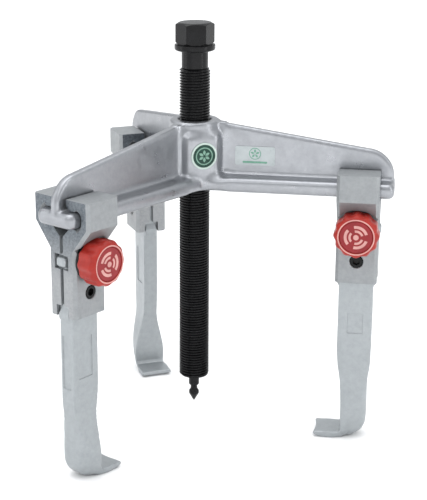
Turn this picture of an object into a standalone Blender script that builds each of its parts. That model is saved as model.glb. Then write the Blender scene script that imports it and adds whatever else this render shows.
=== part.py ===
"""Three-arm gear puller with sliding, quick-clamping jaws.

A threaded crossbeam carries a forcing screw and three arms.  On each arm rides a jaw: two
cheeks that grip the arm's flange, a forged hook held between them, and a knob whose clamp
screw pulls the cheeks together.

Frame: metres, +Z up along the screw's axis.  The origin is the centre of the flat top face
of the drive hexagon, so the tool hangs below it.  Heights in the constants are measured up
from the plane that the three hook heels stand on; level() turns one into a world Z.
Arm A points along +X, arm C is 120 degrees counter-clockwise from it and arm B clockwise.
In a jaw's own frame X is radial, Y is tangential (counter-clockwise) and Z is up.
"""
import math

import bmesh
import bpy
from mathutils import Matrix, Vector

MM = 0.001
GAP = 0.3 * MM            # clearance between pieces that touch

# ---- driving dimensions: the forcing screw -----------------------------------------------
SCREW_R = 11.0 * MM       # M22 x 2 thread
SCREW_CORE_R = 9.45 * MM   # plain neck under the head
HEX_FLATS = 24.0 * MM
HEX_TURN = -16.0          # degrees, how far the screw stands turned at rest
HEX_TOP = 303.0 * MM
COLLAR_TOP = 287.4 * MM
COLLAR_BOTTOM = 283.2 * MM
COLLAR_R = 14.5 * MM
THREAD_TOP = 270.4 * MM
THREAD_BOTTOM = 38.2 * MM
TIP_POINT = 16.4 * MM
TIP_SHANK_R = 2.9 * MM
TIP_SHANK_LENGTH = 12.0 * MM

# ---- driving dimensions: the crossbeam ---------------------------------------------------
HUB_R = 18.0 * MM
HUB_TOP = 234.4 * MM
ARM_REACH = 142.8 * MM    # screw axis to the end of a flange
FLANGE_HALF = 16.5 * MM
FLANGE_BOTTOM = 184.5 * MM
FLANGE_TOP = 195.2 * MM
FLANGE_ROUND = 3.6 * MM
FLANGE_CORNER = 5.0 * MM  # rounding of a flange's end in plan
RIB_HALF = 3.5 * MM
RIB_TOP_AT_HUB = 233.9 * MM
RIB_TOP_AT_END = 217.3 * MM
RIB_END_RADIUS = 19.7 * MM
RIB_REACH = 142.0 * MM
ROOT_FILLET = 6.0 * MM    # between the hub and a rib
FOOT_FILLET = 2.8 * MM    # between a rib and its flange
BITE = 0.12 * MM          # how far a fillet's ends run into the walls it joins
PAD_FACE = 19.3 * MM      # screw axis to the flat pads between the arms
PAD_HALF = 10.8 * MM
PAD_ROOT = 15.4 * MM      # screw axis to where a pad's sloping sides end
PAD_ROOT_HALF = 14.6 * MM
PAD_TOP = 226.0 * MM
BADGE_R = 9.6 * MM
BADGE_HEIGHT = 210.8 * MM
LABEL_LENGTH = 28.4 * MM
LABEL_WIDTH = 13.8 * MM

# ---- driving dimensions: a jaw -----------------------------------------------------------
JAW_R = 119.5 * MM        # screw axis to the middle of a jaw drawn before it is set
CHEEK_HALF_WIDTH = 14.75 * MM   # radial
CHEEK_TOP = 203.0 * MM
CHEEK_SHOULDER = 184.0 * MM
CHEEK_WAIST = 167.0 * MM
CHEEK_BOTTOM = 121.0 * MM
CHEEK_OUTER_UPPER = 25.5 * MM   # tangential distance of the outer faces
CHEEK_OUTER_LOWER = 12.2 * MM
SEAM_HALF = 1.3 * MM
LIP_INNER = RIB_HALF + 1.6 * MM
GROOVE_GAP = 0.4 * MM
TANG_TOP = 175.0 * MM
SHANK_HALF_WIDTH = 12.25 * MM   # radial
SHANK_HALF_DEPTH = 5.6 * MM     # tangential
FOOT_HALF_DEPTH = 12.2 * MM
FINGER_TOP = 4.8 * MM
HEEL_HALF_DEPTH = 7.4 * MM      # tangential, at the outer edge of the foot
RIDGE_END = 11.8 * MM           # jaw middle to where a foot's ridge starts, on its outer edge
FINGER_REACH = 26.8 * MM        # jaw middle to the finger's tip
LUG_REACH = 1.4 * MM            # how far the tang's lugs stand out of the cheeks' windows
NECK = [
    # height, then how far the hook's inner and outer edges are from its middle
    (66.0 * MM, 12.0 * MM, 12.25 * MM),
    (54.0 * MM, 10.9 * MM, 12.0 * MM),
    (43.0 * MM, 9.0 * MM, 10.6 * MM),
    (30.0 * MM, 8.0 * MM, 10.6 * MM),
]
KNOB_HEIGHT = 160.5 * MM
LOCK_HEIGHT = 137.5 * MM
CLAMP_SCREW_R = 4.0 * MM
CLAMP_HOLE_R = 4.35 * MM
LOCK_SCREW_R = 3.0 * MM
LOCK_HOLE_R = 3.35 * MM
LOCK_HEAD_R = 4.5 * MM
LOCK_HEAD_HEIGHT = 3.2 * MM
LOCK_HEAD_SINK = 0.2 * MM       # how far the head sits below the cheek's face
WASHER_R = 14.2 * MM
WASHER_THICKNESS = 2.0 * MM
KNOB_R = 16.0 * MM
KNOB_THICKNESS = 15.2 * MM
KNOB_LOBES = 12
KNOB_LOBE_DEPTH = 0.5 * MM
KNOB_RELIEF = 1.2 * MM          # clearance cut into the cheek's flare around the knob
CAP_R = 12.6 * MM
CAP_THICKNESS = 1.6 * MM

JAWS = {
    # name: (arm direction in degrees, side of the knob: +1 counter-clockwise, -1 clockwise,
    #        how far the jaw is set outward from JAW_R)
    "a": (0.0, -1, -1.0 * MM),
    "b": (-120.0, 1, 1.5 * MM),
    "c": (120.0, 1, -3.2 * MM),
}


def level(height):
    """World Z of a height measured from the heels' plane."""
    return height - HEX_TOP


# ---- scene helpers -----------------------------------------------------------------------
for old in list(bpy.data.objects):
    bpy.data.objects.remove(old, do_unlink=True)


def make_collection(name):
    """A new collection linked to the scene."""
    found = bpy.data.collections.new(name)
    bpy.context.scene.collection.children.link(found)
    return found


PARTS = make_collection("gear_puller")
CUTTERS = make_collection("gear_puller_cutters")


def make_material(name, color, metallic, roughness):
    """A Principled material."""
    made = bpy.data.materials.new(name)
    made.use_nodes = True
    shader = made.node_tree.nodes["Principled BSDF"]
    shader.inputs["Base Color"].default_value = (*color, 1.0)
    shader.inputs["Metallic"].default_value = metallic
    shader.inputs["Roughness"].default_value = roughness
    return made


def make_object(name, mesh, material=None, parent=None, cutter=False):
    """An object for a mesh, put in the parts' or the cutters' collection."""
    made = bpy.data.objects.new(name, mesh)
    (CUTTERS if cutter else PARTS).objects.link(made)
    if material is not None:
        mesh.materials.clear()
        mesh.materials.append(material)
    if parent is not None:
        made.parent = parent
    if cutter:
        made.hide_render = True
        made.display_type = "WIRE"
    return made


def empty(name, location=(0.0, 0.0, 0.0), rotation=None, parent=None):
    """An empty that carries other pieces."""
    made = bpy.data.objects.new(name, None)
    PARTS.objects.link(made)
    made.parent = parent
    made.location = location
    made.rotation_euler = rotation or (0.0, 0.0, 0.0)
    return made


def mesh_from_bmesh(name, bm):
    """A mesh datablock from a bmesh, which is freed."""
    bmesh.ops.recalc_face_normals(bm, faces=bm.faces)
    mesh = bpy.data.meshes.new(name)
    bm.to_mesh(mesh)
    bm.free()
    return mesh


def box_mesh(name, low, high):
    """A box between two corners."""
    bm = bmesh.new()
    low, high = Vector(low), Vector(high)
    size = high - low
    place = Matrix.Translation((low + high) / 2) @ Matrix.Diagonal((*size, 1.0))
    bmesh.ops.create_cube(bm, size=1.0, matrix=place)
    return mesh_from_bmesh(name, bm)


def cylinder_mesh(name, radius, low, high, segments=32, radius_top=None):
    """A cylinder or cone frustum along Z between two levels."""
    bm = bmesh.new()
    bmesh.ops.create_cone(bm, cap_ends=True, segments=segments, radius1=radius,
                          radius2=radius if radius_top is None else radius_top,
                          depth=high - low, matrix=Matrix.Translation((0, 0, (low + high) / 2)))
    return mesh_from_bmesh(name, bm)


def turned(name, profile, segments, material=None, parent=None, cutter=False):
    """A solid of revolution about Z: profile points (radius, z) run from top to bottom."""
    mesh = bpy.data.meshes.new(name)
    points = [(r, 0.0, z) for r, z in profile]
    mesh.from_pydata(points, [(i, i + 1) for i in range(len(points) - 1)], [])
    made = make_object(name, mesh, material, parent, cutter)
    screw = made.modifiers.new("turn", "SCREW")
    screw.axis = "Z"
    screw.angle = math.tau
    screw.steps = segments
    screw.render_steps = segments
    screw.use_merge_vertices = True
    screw.merge_threshold = 0.00001
    screw.use_smooth_shade = False
    return made


def outline_mesh(name, points, low, high):
    """A flat outline in XY pushed along Z from low to high, as a closed welded mesh."""
    curve = bpy.data.curves.new(name + "_outline", "CURVE")
    curve.dimensions = "2D"
    curve.fill_mode = "BOTH"
    curve.extrude = (high - low) / 2
    spline = curve.splines.new("POLY")
    spline.points.add(len(points) - 1)
    for point, (x, y) in zip(spline.points, points):
        point.co = (x, y, 0.0, 1.0)
    spline.use_cyclic_u = True
    carrier = bpy.data.objects.new(name + "_outline", curve)
    PARTS.objects.link(carrier)
    depsgraph = bpy.context.evaluated_depsgraph_get()
    mesh = bpy.data.meshes.new_from_object(carrier.evaluated_get(depsgraph))
    bpy.data.objects.remove(carrier, do_unlink=True)
    bpy.data.curves.remove(curve)
    bm = bmesh.new()
    bm.from_mesh(mesh)
    bpy.data.meshes.remove(mesh)
    bmesh.ops.remove_doubles(bm, verts=bm.verts, dist=0.00001)
    bmesh.ops.dissolve_limit(bm, angle_limit=math.radians(0.5), verts=bm.verts, edges=bm.edges)
    bmesh.ops.translate(bm, verts=bm.verts, vec=(0.0, 0.0, (low + high) / 2))
    return mesh_from_bmesh(name, bm)


def turn_mesh(mesh, matrix):
    """Turn or move a mesh in place."""
    mesh.transform(matrix)
    mesh.update()
    return mesh


# An outline drawn in (radial, height) stands up in XZ and is pushed along Y.
STAND_XZ = Matrix(((1, 0, 0, 0), (0, 0, -1, 0), (0, 1, 0, 0), (0, 0, 0, 1)))
# An outline drawn in (tangential, height) stands up in YZ and is pushed along X.
STAND_YZ = Matrix(((0, 0, 1, 0), (1, 0, 0, 0), (0, 1, 0, 0), (0, 0, 0, 1)))
# A shape along Z lies along Y.
LIE_Y = Matrix.Rotation(math.radians(-90.0), 4, "X")
# A shape along Z lies along X.
LIE_X = Matrix.Rotation(math.radians(90.0), 4, "Y")


def boolean(target, cutter, operation="DIFFERENCE"):
    """Cut, join or intersect with another object."""
    modifier = target.modifiers.new(operation.lower(), "BOOLEAN")
    modifier.operation = operation
    modifier.solver = "EXACT"
    modifier.object = cutter
    return modifier


def bevel(target, width, segments=1, angle=50.0):
    """Round the sharp edges."""
    modifier = target.modifiers.new("bevel", "BEVEL")
    modifier.width = width
    modifier.segments = segments
    modifier.limit_method = "ANGLE"
    modifier.angle_limit = math.radians(angle)
    return modifier


def arc(cx, cy, radius, start, end, steps):
    """Points on an arc, angles in degrees."""
    return [(cx + radius * math.cos(math.radians(start + (end - start) * i / steps)),
             cy + radius * math.sin(math.radians(start + (end - start) * i / steps)))
            for i in range(steps + 1)]


STEEL = make_material("satin_steel", (0.52, 0.54, 0.55), 0.9, 0.34)
BEAM_STEEL = make_material("beam_steel", (0.50, 0.52, 0.53), 0.9, 0.36)
HOOK_STEEL = make_material("hook_steel", (0.50, 0.52, 0.53), 0.9, 0.38)
BLACK_STEEL = make_material("black_oxide", (0.035, 0.035, 0.038), 0.7, 0.38)
TIP_STEEL = make_material("bright_steel", (0.55, 0.56, 0.58), 1.0, 0.25)
KNOB_RED = make_material("knob_red", (0.55, 0.035, 0.03), 0.0, 0.4)
CAP_RED = make_material("cap_red", (0.62, 0.08, 0.07), 0.0, 0.35)
LABEL_PALE = make_material("label_pale", (0.75, 0.78, 0.76), 0.0, 0.4)
BADGE_GREEN = make_material("badge_green", (0.05, 0.22, 0.16), 0.0, 0.4)


# ---- the crossbeam -----------------------------------------------------------------------
def rib_outline():
    """Side view of an arm's rib: (radial, level) points, from inside the hub outward."""
    centre_r = RIB_REACH - RIB_END_RADIUS
    centre_z = level(RIB_TOP_AT_END) - RIB_END_RADIUS
    start_r = HUB_R - 8.0 * MM
    foot = level(FLANGE_BOTTOM) + 5.0 * MM
    points = [(start_r, foot), (RIB_REACH, foot)]
    points += arc(centre_r, centre_z, RIB_END_RADIUS, 0.0, 87.0, 7)
    points += [(start_r, level(RIB_TOP_AT_HUB))]
    return points


def flange_outline():
    """Plan of a flange: (radial, tangential) points, with rounded end corners."""
    centre_r, centre_y = ARM_REACH - FLANGE_CORNER, FLANGE_HALF - FLANGE_CORNER
    return ([(0.0, -FLANGE_HALF)]
            + arc(centre_r, -centre_y, FLANGE_CORNER, -90.0, 0.0, 4)
            + arc(centre_r, centre_y, FLANGE_CORNER, 0.0, 90.0, 4)
            + [(0.0, FLANGE_HALF)])


def rib_foot_outline():
    """Section of the concave foot between a rib and its flange: (tangential, level) points."""
    top = level(FLANGE_TOP)
    middle = RIB_HALF + FOOT_FILLET - BITE
    right = [(middle, top - 1.0 * MM)]
    right += arc(middle, top + FOOT_FILLET - BITE, FOOT_FILLET, 270.0, 180.0, 3)
    return right + [(-y, z) for y, z in reversed(right)]


def rib_root_outline():
    """Plan of the concave root between the hub and a rib: (radial, tangential) points."""
    out = RIB_HALF + ROOT_FILLET - BITE
    centre = math.sqrt((HUB_R + ROOT_FILLET - BITE) ** 2 - out ** 2)
    toward_hub = 180.0 + math.degrees(math.atan2(out, centre))
    upper = [(HUB_R - 6.0 * MM, 0.0)] + arc(centre, out, ROOT_FILLET, toward_hub, 270.0, 4)
    return upper + [(r, -y) for r, y in reversed(upper[1:])]


def pad_outline():
    """Plan of a flat pad between two arms, with sides that slope into the arms' roots."""
    right = [(PAD_FACE, PAD_HALF), (PAD_ROOT, PAD_ROOT_HALF), (SCREW_R + 1.5 * MM, PAD_ROOT_HALF)]
    return [(r, -y) for r, y in reversed(right)] + right


def make_crossbeam():
    """Threaded hub with three flanged arms, as one forging."""
    bottom, top = level(FLANGE_BOTTOM), level(HUB_TOP)
    chamfer = 1.6 * MM
    beam = turned("crossbeam", [
        (0.0, top), (HUB_R - chamfer, top), (HUB_R, top - chamfer),
        (HUB_R, bottom + chamfer), (HUB_R - chamfer, bottom), (0.0, bottom),
    ], 40, BEAM_STEEL)
    for name, (angle, _side, _setting) in JAWS.items():
        turn = Matrix.Rotation(math.radians(angle), 4, "Z")
        flange = make_object(
            "flange_" + name,
            turn_mesh(outline_mesh("flange_" + name, flange_outline(), bottom,
                                   level(FLANGE_TOP)), turn),
            cutter=True)
        bevel(flange, FLANGE_ROUND, 3)
        boolean(beam, flange, "UNION")
    for name, (angle, _side, _setting) in JAWS.items():
        turn = Matrix.Rotation(math.radians(angle), 4, "Z")
        rib = make_object(
            "rib_" + name,
            turn_mesh(outline_mesh("rib_" + name, rib_outline(), -RIB_HALF, RIB_HALF),
                      turn @ STAND_XZ),
            cutter=True)
        bevel(rib, 1.6 * MM, 2, 60.0)
        boolean(beam, rib, "UNION")
        foot = make_object(
            "rib_foot_" + name,
            turn_mesh(outline_mesh("rib_foot_" + name, rib_foot_outline(), HUB_R - 9.0 * MM,
                                   RIB_REACH - 2.0 * MM), turn @ STAND_YZ),
            cutter=True)
        boolean(beam, foot, "UNION")
        root = make_object(
            "rib_root_" + name,
            turn_mesh(outline_mesh("rib_root_" + name, rib_root_outline(),
                                   level(FLANGE_TOP) - 2.0 * MM,
                                   level(RIB_TOP_AT_HUB) - 0.8 * MM), turn),
            cutter=True)
        boolean(beam, root, "UNION")
        pad = make_object(
            "hub_pad_" + name,
            turn_mesh(outline_mesh("hub_pad_" + name, pad_outline(), bottom, level(PAD_TOP)),
                      turn @ Matrix.Rotation(math.radians(60.0), 4, "Z")),
            cutter=True)
        bevel(pad, 1.2 * MM, 1)
        boolean(beam, pad, "UNION")
    bore = make_object(
        "screw_bore",
        cylinder_mesh("screw_bore", SCREW_R + GAP, bottom - 0.01, top + 0.01, 40),
        cutter=True)
    boolean(beam, bore)
    return beam


def make_badges():
    """Round badge on the hub's pad, and the label on arm A's rib."""
    pad_turn = Matrix.Rotation(math.radians(-60.0), 4, "Z")
    place = pad_turn @ Matrix.Translation((0, 0, level(BADGE_HEIGHT))) @ LIE_X
    make_object(
        "hub_badge",
        turn_mesh(cylinder_mesh("hub_badge", BADGE_R, PAD_FACE + 0.2 * MM,
                                PAD_FACE + 1.0 * MM, 32), place),
        BADGE_GREEN)
    middle_r, middle_z = 44.2 * MM, level(209.3 * MM)
    face = -(RIB_HALF + 0.2 * MM)
    label = make_object(
        "arm_label",
        box_mesh("arm_label",
                 (middle_r - LABEL_LENGTH / 2, face - 0.4 * MM, middle_z - LABEL_WIDTH / 2),
                 (middle_r + LABEL_LENGTH / 2, face, middle_z + LABEL_WIDTH / 2)),
        LABEL_PALE)
    bevel(label, 0.15 * MM, 1)


# ---- the forcing screw -------------------------------------------------------------------
def make_forcing_screw():
    """Hexagon head, collar, neck and threaded shaft, with a bore for the tip."""
    z_neck, z_thread, z_end = level(COLLAR_BOTTOM), level(THREAD_TOP), level(THREAD_BOTTOM)
    chamfer = 1.6 * MM
    screw = turned("forcing_screw", [
        (0.0, level(COLLAR_TOP) + 1.0 * MM), (SCREW_CORE_R, level(COLLAR_TOP) + 1.0 * MM),
        (COLLAR_R - 0.8 * MM, level(COLLAR_TOP)),
        (COLLAR_R, level(COLLAR_TOP) - 0.8 * MM), (COLLAR_R, z_neck),
        (SCREW_CORE_R, z_neck), (SCREW_CORE_R, z_thread + chamfer),
        (SCREW_R, z_thread), (SCREW_R, z_end + 2.5 * MM),
        (SCREW_R - 2.5 * MM, z_end), (0.0, z_end),
    ], 40, BLACK_STEEL)
    head = make_object(
        "drive_hexagon",
        turn_mesh(cylinder_mesh("drive_hexagon", HEX_FLATS / math.sqrt(3.0),
                                level(COLLAR_TOP) - 1.0 * MM, 0.0, 6),
                  Matrix.Rotation(math.radians(HEX_TURN), 4, "Z")),
        cutter=True)
    crown = turned("hexagon_crown", [
        (0.0, 0.0), (HEX_FLATS / 2 - 0.6 * MM, 0.0),
        (HEX_FLATS / 2 + 3.0 * MM, -2.1 * MM),
        (HEX_FLATS / 2 + 3.0 * MM, -0.03), (0.0, -0.03),
    ], 40, cutter=True)
    boolean(head, crown, "INTERSECT")
    boolean(screw, head, "UNION")
    bore = make_object(
        "tip_bore",
        cylinder_mesh("tip_bore", TIP_SHANK_R + 0.15 * MM, z_end - 0.01,
                      z_end + TIP_SHANK_LENGTH + GAP, 24),
        cutter=True)
    boolean(screw, bore)
    return screw


def make_tip():
    """Centre point that stays still on the work while the screw turns on it."""
    z_end, point = level(THREAD_BOTTOM), level(TIP_POINT)
    turned("centre_tip", [
        (0.0, z_end + TIP_SHANK_LENGTH), (TIP_SHANK_R - 0.6 * MM, z_end + TIP_SHANK_LENGTH),
        (TIP_SHANK_R, z_end + TIP_SHANK_LENGTH - 0.6 * MM), (TIP_SHANK_R, z_end - GAP),
        (3.9 * MM, z_end - GAP), (3.9 * MM, z_end - 8.4 * MM),
        (2.5 * MM, z_end - 9.6 * MM), (2.5 * MM, z_end - 11.8 * MM),
        (3.8 * MM, z_end - 13.6 * MM), (3.8 * MM, z_end - 16.2 * MM),
        (0.5 * MM, point + 0.1 * MM), (0.0, point),
    ], 24, TIP_STEEL)


# ---- a jaw -------------------------------------------------------------------------------
def cheek_outline(side):
    """Front view of a cheek: (tangential, level) points of its section, for one side."""
    groove_out = FLANGE_HALF + GROOVE_GAP
    groove_low = level(FLANGE_BOTTOM) - GROOVE_GAP
    groove_high = level(FLANGE_TOP) + GROOVE_GAP
    corner = 2.4 * MM
    relief = 7.0 * MM
    points = [
        (LIP_INNER, level(CHEEK_TOP)),
        (CHEEK_OUTER_UPPER, level(CHEEK_TOP)),
        (CHEEK_OUTER_UPPER, level(CHEEK_SHOULDER)),
        (CHEEK_OUTER_LOWER, level(CHEEK_WAIST)),
        (CHEEK_OUTER_LOWER, level(CHEEK_BOTTOM)),
        (SEAM_HALF, level(CHEEK_BOTTOM)),
        (SEAM_HALF, groove_low - relief),
        (SEAM_HALF + relief, groove_low),
        (groove_out - corner, groove_low),
        (groove_out, groove_low + corner),
        (groove_out, groove_high - corner),
        (groove_out - corner, groove_high),
        (LIP_INNER + FOOT_FILLET, groove_high),
        (LIP_INNER, groove_high + FOOT_FILLET),
    ]
    return [(side * y, z) for y, z in points]


def make_cheek(name, side, parent, knob_side):
    """One clamp cheek, on the tangential side given."""
    low, high = JAW_R - CHEEK_HALF_WIDTH, JAW_R + CHEEK_HALF_WIDTH
    mesh = turn_mesh(outline_mesh(name, cheek_outline(side), low, high), STAND_YZ)
    cheek = make_object(name, mesh, STEEL, parent)
    bevel(cheek, 1.1 * MM, 1, 60.0)
    pocket_half = SHANK_HALF_WIDTH + GAP
    pocket = make_object(
        name + "_pocket",
        box_mesh(name + "_pocket",
                 (JAW_R - pocket_half, -SHANK_HALF_DEPTH - GAP, level(CHEEK_BOTTOM) - 0.005),
                 (JAW_R + pocket_half, SHANK_HALF_DEPTH + GAP, level(TANG_TOP) + GAP)),
        parent=parent, cutter=True)
    boolean(cheek, pocket)
    windows = make_object(
        name + "_window",
        box_mesh(name + "_window",
                 (JAW_R - 0.03, -6.4 * MM, level(KNOB_HEIGHT) - 6.2 * MM),
                 (JAW_R + 0.03, 6.4 * MM, level(KNOB_HEIGHT) + 4.2 * MM)),
        parent=parent, cutter=True)
    boolean(cheek, windows)
    notch = make_object(
        name + "_notch",
        box_mesh(name + "_notch",
                 (JAW_R - 0.03, -5.6 * MM, level(CHEEK_BOTTOM) - 0.005),
                 (JAW_R + 0.03, 5.6 * MM, level(CHEEK_BOTTOM) + 8.0 * MM)),
        parent=parent, cutter=True)
    boolean(cheek, notch)
    for label, radius, height in (("clamp", CLAMP_HOLE_R, KNOB_HEIGHT),
                                  ("lock", LOCK_HOLE_R, LOCK_HEIGHT)):
        if label == "lock" and not knob_side:
            continue
        hole = make_object(
            name + "_" + label + "_hole",
            turn_mesh(cylinder_mesh(name + label, radius, -0.04, 0.04, 20),
                      Matrix.Translation((JAW_R, 0, level(height))) @ LIE_Y),
            parent=parent, cutter=True)
        boolean(cheek, hole)
    if knob_side:
        floor = CHEEK_OUTER_LOWER - LOCK_HEAD_SINK - LOCK_HEAD_HEIGHT - GAP
        seat = make_object(
            name + "_lock_seat",
            turn_mesh(cylinder_mesh(name + "_lock_seat", LOCK_HEAD_R + GAP, floor, 0.05, 32),
                      Matrix.Translation((JAW_R, 0, level(LOCK_HEIGHT)))
                      @ Matrix.Rotation(math.radians(-90.0 * side), 4, "X")),
            parent=parent, cutter=True)
        boolean(cheek, seat)
        relief = make_object(
            name + "_knob_relief",
            turn_mesh(cylinder_mesh(name + "_knob_relief", KNOB_R + KNOB_RELIEF,
                                    CHEEK_OUTER_LOWER + 0.1 * MM, 0.05, 40),
                      Matrix.Translation((JAW_R, 0, level(KNOB_HEIGHT)))
                      @ Matrix.Rotation(math.radians(-90.0 * side), 4, "X")),
            parent=parent, cutter=True)
        boolean(cheek, relief)
    return cheek


def hook_side_outline():
    """Side view of a hook: (radial, level) points, counter-clockwise from the tang's top."""
    half = SHANK_HALF_WIDTH
    tip = JAW_R - FINGER_REACH
    root, throat = 2.6 * MM, 7.4 * MM
    points = [
        (JAW_R + half, level(TANG_TOP)), (JAW_R - half, level(TANG_TOP)),
    ]
    points += [(JAW_R - inner, level(height)) for height, inner, _outer in NECK]
    points += arc(JAW_R - throat - root, level(FINGER_TOP) + root, root, -5.0, -90.0, 2)
    points += [
        (tip + 0.6 * MM, level(FINGER_TOP)), (tip - 0.4 * MM, level(3.0 * MM)),
        (tip + 1.2 * MM, level(1.2 * MM)), (tip + 4.0 * MM, level(0.2 * MM)),
        (tip + 9.0 * MM, level(0.0)), (tip + 14.0 * MM, level(0.0)),
    ]
    heel_r, heel_z = JAW_R - 4.9 * MM, level(15.6 * MM)
    points += arc(heel_r, heel_z, 15.4 * MM, -75.0, 0.0, 5)
    points += [(JAW_R + outer, level(height)) for height, _inner, outer in reversed(NECK)]
    return points


def eased(t):
    """Smooth step from 0 to 1."""
    t = min(1.0, max(0.0, t))
    return t * t * (3.0 - 2.0 * t)


def hook_half_depth(x, height):
    """Half of a hook's tangential width: the inner part flares to the finger's width, the outer
    part stays narrow, and a slanting flank joins the two.  x is radial from the jaw's middle."""
    inner = SHANK_HALF_DEPTH + ((FOOT_HALF_DEPTH - SHANK_HALF_DEPTH)
                                * eased((53.0 * MM - height) / (40.0 * MM)))
    outer = SHANK_HALF_DEPTH + ((HEEL_HALF_DEPTH - SHANK_HALF_DEPTH)
                                * eased((50.0 * MM - height) / (30.0 * MM)))
    down = min(1.0, max(0.0, (50.0 * MM - height) / (42.0 * MM)))
    ridge = 11.6 * MM - 17.9 * MM * down ** 1.72
    slant = min(1.0, max(0.0, (x - ridge) / max(RIDGE_END - ridge, 0.2 * MM)))
    return inner + (outer - inner) * slant


def hook_flank_rings():
    """Sections, from the inner to the outer side, of a solid as wide as the hook at each place."""
    heights = [TANG_TOP + 0.01] + [60.0 * MM - 6.0 * MM * i for i in range(10)] + [-0.01]
    rings = []
    for x in (-40.0, -8.0, -4.0, 0.0, 4.0, 8.0, 11.8, 30.0):
        right = [(hook_half_depth(x * MM, height), level(height)) for height in heights]
        rings.append((right + [(-y, z) for y, z in reversed(right)], JAW_R + x * MM))
    return rings


def make_hook(name, parent):
    """Forged hook: tang with side lugs, shank, flared foot and thin finger."""
    side = make_object(
        name,
        turn_mesh(outline_mesh(name, hook_side_outline(), -0.02, 0.02), STAND_XZ),
        HOOK_STEEL, parent)
    front = make_object(
        name + "_front",
        turn_mesh(loft_mesh(name + "_front", hook_flank_rings()), STAND_YZ),
        parent=parent, cutter=True)
    boolean(side, front, "INTERSECT")
    lugs = make_object(
        name + "_lugs",
        box_mesh(name + "_lugs",
                 (JAW_R - CHEEK_HALF_WIDTH - LUG_REACH, -4.2 * MM,
                  level(KNOB_HEIGHT) - 4.4 * MM),
                 (JAW_R + CHEEK_HALF_WIDTH + LUG_REACH, 4.2 * MM,
                  level(KNOB_HEIGHT) + 2.4 * MM)),
        parent=parent, cutter=True)
    boolean(side, lugs, "UNION")
    shoulder = make_object(
        name + "_shoulder",
        box_mesh(name + "_shoulder",
                 (JAW_R - CHEEK_HALF_WIDTH + 0.2 * MM, -4.6 * MM, level(118.5 * MM)),
                 (JAW_R + CHEEK_HALF_WIDTH - 0.2 * MM, 4.6 * MM,
                  level(CHEEK_BOTTOM) + 5.5 * MM)),
        parent=parent, cutter=True)
    boolean(side, shoulder, "UNION")
    depth = 1.7 * MM
    radius = (FOOT_HALF_DEPTH ** 2 + depth ** 2) / (2 * depth)
    scoop = make_object(
        name + "_scoop",
        turn_mesh(cylinder_mesh(name + "_scoop", radius, level(-5.0 * MM), level(14.0 * MM), 96),
                  Matrix.Translation((JAW_R - FINGER_REACH - 0.4 * MM - radius + depth, 0, 0))),
        parent=parent, cutter=True)
    boolean(side, scoop)
    for label, radius, height in (("clamp", CLAMP_HOLE_R, KNOB_HEIGHT),
                                  ("lock", LOCK_HOLE_R, LOCK_HEIGHT)):
        hole = make_object(
            name + "_" + label + "_hole",
            turn_mesh(cylinder_mesh(name + label, radius, -0.02, 0.02, 20),
                      Matrix.Translation((JAW_R, 0, level(height))) @ LIE_Y),
            parent=parent, cutter=True)
        boolean(side, hole)
    return side


def knob_section(radius, steps_per_lobe=4):
    """Scalloped outline of a knob."""
    count = KNOB_LOBES * steps_per_lobe
    points = []
    for i in range(count):
        angle = math.tau * i / count
        wave = 0.5 + 0.5 * math.cos(KNOB_LOBES * angle)
        r = radius - 2 * KNOB_LOBE_DEPTH * (1.0 - wave)
        points.append((r * math.cos(angle), r * math.sin(angle)))
    return points


def loft_mesh(name, rings):
    """Closed solid through rings of equal point counts: (points, z) from bottom to top."""
    bm = bmesh.new()
    made = [[bm.verts.new((x, y, z)) for x, y in points] for points, z in rings]
    count = len(made[0])
    for below, above in zip(made, made[1:]):
        for i in range(count):
            j = (i + 1) % count
            bm.faces.new((below[i], below[j], above[j], above[i]))
    bm.faces.new(list(reversed(made[0])))
    bm.faces.new(made[-1])
    return mesh_from_bmesh(name, bm)


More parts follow.
